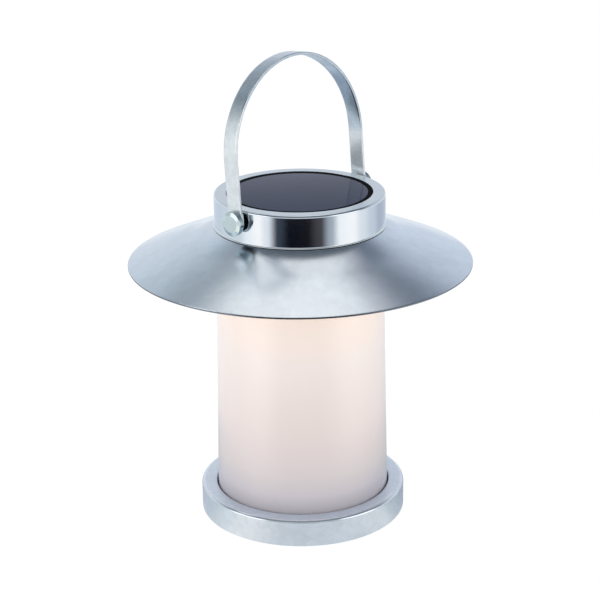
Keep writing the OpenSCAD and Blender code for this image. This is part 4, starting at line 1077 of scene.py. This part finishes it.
# The same close to the base, this side of the card
NEAR_STOPS = [
    (-180, (0.38, 0.43, 0.49)), (-115, (0.5, 0.56, 0.63)), (-95, (0.6, 0.66, 0.75)), (-82, (0.64, 0.71, 0.79)),
    (-61, (0.9, 0.95, 0.98)), (-38, (1.14, 1.12, 1.11)), (-8, (0.8, 0.84, 0.89)), (10, (0.8, 0.84, 0.89)),
    (34, (0.86, 0.9, 0.94)), (60, (0.95, 0.96, 0.98)), (74, (0.6, 0.66, 0.72)), (86, (0.48, 0.54, 0.61)),
    (100, (0.42, 0.48, 0.55)), (180, (0.38, 0.43, 0.49)),
]
# Shade under the base, and bare paper beyond the card
UNDER_LIGHT, FAR_LIGHT = (0.52, 0.57, 0.62, 1.0), (1.08, 1.1, 1.12, 1.0)
# Metres from the axis at which that shade ends and the card fades in and out
SHADE_OUT, CARD_IN, CARD_OUT = (0.066, 0.07), (0.14, 0.26), (0.86, 0.96)

# Softboxes over the lantern: metres up, behind it and to its left, width and depth, light
SOFTBOXES = [
    ("ceiling_softbox", 1.75, 0.5, 0.04, (1.1, 1.25), (0.66, 0.62, 0.57)),
    ("ceiling_halo", 1.77, 0.55, 0.04, (1.66, 1.45), (0.52, 0.48, 0.45)),
    ("left_softbox", 1.75, 0.28, 1.1, (0.75, 0.5), (1.5, 1.5, 1.5)),
]
# The lamp beside the camera, and the point that it faces
FILL_PLACE, FILL_AIM = AWAY * -1.5 - RIGHT * 0.2 + Vector((0, 0, 0.9)), Vector((0, 0, 0.12))
FILL_SIZE, FILL_LIGHT = (1.0, 1.0), (1.12, 1.11, 1.12)


def sides_of_view(tree, place):
    """How far a place lies to the right and to the camera's side, and its turn to the right of that side."""
    right, ahead = (add_node(tree, "ShaderNodeVectorMath", {"operation": "DOT_PRODUCT"}, {0: place, 1: axis})
                    for axis in (RIGHT, -AWAY))
    return right, ahead, add_node(tree, "ShaderNodeMath", {"operation": "ARCTAN2"}, {0: right, 1: ahead})


def studio_world():
    """Pale studio with a lit wall that ends in a dim gap, darker to the right, and a dim ceiling before
    the lantern; white for the camera itself."""
    world = bpy.data.worlds.new("studio")
    world.use_nodes = True
    tree = world.node_tree
    tree.nodes.clear()
    towards = add_node(tree, "ShaderNodeTexCoord").outputs["Generated"]
    rise = add_node(tree, "ShaderNodeSeparateXYZ", inputs={0: towards}).outputs["Z"]
    share = add_node(tree, "ShaderNodeMapRange", inputs={"Value": rise, "From Min": -1.0})
    walls = []
    for stops in WALL_STOPS:
        walls.append(add_node(tree, "ShaderNodeValToRGB", inputs={0: share}))
        set_stops(walls[-1].color_ramp, [((1 + math.sin(math.radians(up))) / 2, rgb) for up, rgb in stops])
    right, ahead, turn = sides_of_view(tree, towards)
    aside = add_node(tree, "ShaderNodeMath", {"operation": "ABSOLUTE"}, {0: turn})
    to_right, to_back, *panel_limits = (
        add_node(tree, "ShaderNodeMapRange", {"interpolation_type": "SMOOTHSTEP"}, {
            "Value": value, "From Min": start, "From Max": end})
        for value, (start, end) in (
            (right, WALL_TURN), (ahead, WALL_FRONT), (aside, map(math.radians, PANEL_INNER)),
            (aside, map(math.radians, PANEL_OUTER)), (rise, (math.sin(math.radians(d)) for d in PANEL_TOP))))
    behind = add_node(tree, "ShaderNodeMix", {"data_type": "RGBA"}, {
        "Factor": to_right, "A": walls[0], "B": walls[1]})
    around = add_node(tree, "ShaderNodeMix", {"data_type": "RGBA"}, {
        "Factor": to_back, "A": walls[2], "B": behind})
    panel = 1.0
    for limit in panel_limits:
        panel = add_node(tree, "ShaderNodeMath", {"operation": "MULTIPLY"}, {0: panel, 1: limit})
    lit = add_node(tree, "ShaderNodeMix", {"data_type": "RGBA"}, {
        "Factor": panel, "A": around, "B": PANEL_LIGHT})
    studio = add_node(tree, "ShaderNodeBackground", inputs={"Color": lit})
    white = add_node(tree, "ShaderNodeBackground", inputs={"Color": (1, 1, 1, 1)})
    seen = add_node(tree, "ShaderNodeLightPath").outputs["Is Camera Ray"]
    mixed = add_node(tree, "ShaderNodeMixShader", inputs={0: seen, 1: studio, 2: white})
    add_node(tree, "ShaderNodeOutputWorld", inputs={"Surface": mixed})
    return world


def studio_floor():
    """Large pale floor that keeps a soft shadow and can be looked through from below."""
    bpy.ops.mesh.primitive_circle_add(vertices=96, radius=6.0, fill_type="NGON")
    floor = bpy.context.object
    floor.name = "studio_floor"
    material = bpy.data.materials.new("studio_paper")
    material.use_nodes = True
    tree = material.node_tree
    tree.nodes.clear()
    place = add_node(tree, "ShaderNodeTexCoord").outputs["Object"]
    share = add_node(tree, "ShaderNodeMapRange", inputs={
        "Value": sides_of_view(tree, place)[2], "From Min": -math.pi, "From Max": math.pi})
    rings = []
    for stops in (NEAR_STOPS, FLOOR_STOPS):
        rings.append(add_node(tree, "ShaderNodeValToRGB", inputs={0: share}))
        rings[-1].color_ramp.interpolation = "EASE"
        set_stops(rings[-1].color_ramp, [((degrees + 180) / 360, rgb) for degrees, rgb in stops])
    mirrored = UNDER_LIGHT
    for limits, next_ring in ((SHADE_OUT, rings[0]), (CARD_IN, rings[1]), (CARD_OUT, FAR_LIGHT)):
        mirrored = add_node(tree, "ShaderNodeMix", {"data_type": "RGBA"}, {
            "Factor": within(tree, place, [("R", *limits)]), "A": mirrored, "B": next_ring})
    path = add_node(tree, "ShaderNodeLightPath").outputs
    paper = add_node(tree, "ShaderNodeBsdfDiffuse", inputs={"Color": (0.8, 0.81, 0.82, 1)})
    faint = add_node(tree, "ShaderNodeBsdfDiffuse", inputs={"Color": (0.12, 0.12, 0.12, 1)})
    white = add_node(tree, "ShaderNodeEmission", inputs={"Color": (0.95, 0.95, 0.95, 1)})
    bright = add_node(tree, "ShaderNodeAddShader", inputs={0: white, 1: faint})
    cards = add_node(tree, "ShaderNodeEmission", inputs={"Color": mirrored})
    open_sight = add_node(tree, "ShaderNodeMath", {"operation": "MAXIMUM"},
                          {0: path["Is Camera Ray"], 1: path["Is Transmission Ray"]})
    seen = add_node(tree, "ShaderNodeMixShader", inputs={0: open_sight, 1: paper, 2: bright})
    lit = add_node(tree, "ShaderNodeMixShader", inputs={0: path["Is Glossy Ray"], 1: seen, 2: cards})
    clear = add_node(tree, "ShaderNodeBsdfTransparent")
    under = add_node(tree, "ShaderNodeNewGeometry").outputs["Backfacing"]
    sided = add_node(tree, "ShaderNodeMixShader", inputs={0: under, 1: lit, 2: clear})
    add_node(tree, "ShaderNodeOutputMaterial", inputs={"Surface": sided})
    floor.data.materials.append(material)


def softbox(name, centre, turn, size, radiance, shape):
    """An area lamp with an even face, which the camera doesn't see."""
    lamp = bpy.data.lights.new(name, "AREA")
    lamp.shape = shape
    lamp.size, lamp.size_y = size
    area = size[0] * size[1] * (math.pi / 4 if shape == "ELLIPSE" else 1)
    brightest = max(radiance)
    lamp.color = [c / brightest for c in radiance]
    lamp.energy = brightest * math.pi * area
    box = bpy.data.objects.new(name, lamp)
    bpy.context.scene.collection.objects.link(box)
    box.location = centre
    box.rotation_euler = turn
    box.visible_camera = False
    return box


def studio_camera():
    """Camera of the photograph: a long lens from the left front, looking down."""
    data = bpy.data.cameras.new("camera")
    data.sensor_fit = "HORIZONTAL"
    data.sensor_width = SENSOR
    data.lens = FOCAL_PX * SENSOR / PICTURE_PX
    camera = bpy.data.objects.new("camera", data)
    bpy.context.scene.collection.objects.link(camera)
    aim = (AXIS_PX - PICTURE_PX / 2) / FOCAL_PX
    turn = Matrix.Rotation(aim - CAMERA_TURN, 4, "Z")
    pitch = Matrix.Rotation(math.pi / 2 - CAMERA_PITCH, 4, "X")
    roll = Matrix.Rotation(-CAMERA_ROLL, 4, "Z")
    stand = Vector((0, 0, CAMERA_UP)) - AWAY * CAMERA_BACK
    camera.matrix_world = Matrix.Translation(stand) @ turn @ pitch @ roll
    bpy.context.scene.camera = camera


class LANTERN_OT_stage(LanternOperator, bpy.types.Operator):
    """Sets up the floor, the soft studio light and the camera"""

    bl_idname = "lantern.stage"
    bl_label = "Studio"

    def execute(self, context):
        scene = context.scene
        scene.view_settings.view_transform = "Standard"
        scene.world = studio_world()
        studio_floor()
        for name, up, behind, aside, size, light in SOFTBOXES:
            centre = AWAY * behind - RIGHT * aside + Vector((0, 0, up))
            softbox(name, centre, (0, 0, -CAMERA_TURN), size, light, "ELLIPSE")
        facing = (FILL_AIM - FILL_PLACE).to_track_quat("-Z", "Y").to_euler()
        fill = softbox("front_fill", FILL_PLACE, facing, FILL_SIZE, FILL_LIGHT, "RECTANGLE")
        fill.visible_glossy = False
        studio_camera()
        return {"FINISHED"}


OPERATORS = [
    LANTERN_OT_stage, LANTERN_OT_base, LANTERN_OT_diffuser, LANTERN_OT_brim, LANTERN_OT_collar,
    LANTERN_OT_handle, LANTERN_OT_pivots, LANTERN_OT_panel, LANTERN_OT_module, LANTERN_OT_inside,
]


class LANTERN_PT_pieces(bpy.types.Panel):
    """Lists the lantern's pieces and the studio"""

    bl_label = "Lantern"
    bl_idname = "LANTERN_PT_pieces"
    bl_space_type = "VIEW_3D"
    bl_region_type = "UI"
    bl_category = "Lantern"

    def draw(self, context):
        for operator in OPERATORS:
            self.layout.operator(operator.bl_idname)


CLASSES = [LanternSizes, LanternFinishes, *OPERATORS, LANTERN_PT_pieces]


def register():
    for cls in CLASSES:
        bpy.utils.register_class(cls)
    bpy.types.Scene.lantern_sizes = PointerProperty(type=LanternSizes)
    bpy.types.Scene.lantern_finishes = PointerProperty(type=LanternFinishes)


def unregister():
    del bpy.types.Scene.lantern_finishes
    del bpy.types.Scene.lantern_sizes
    for cls in reversed(CLASSES):
        bpy.utils.unregister_class(cls)


def main():
    register()
    for operator in OPERATORS:
        group, name = operator.bl_idname.split(".")
        getattr(getattr(bpy.ops, group), name)()


if __name__ == "__main__":
    main()
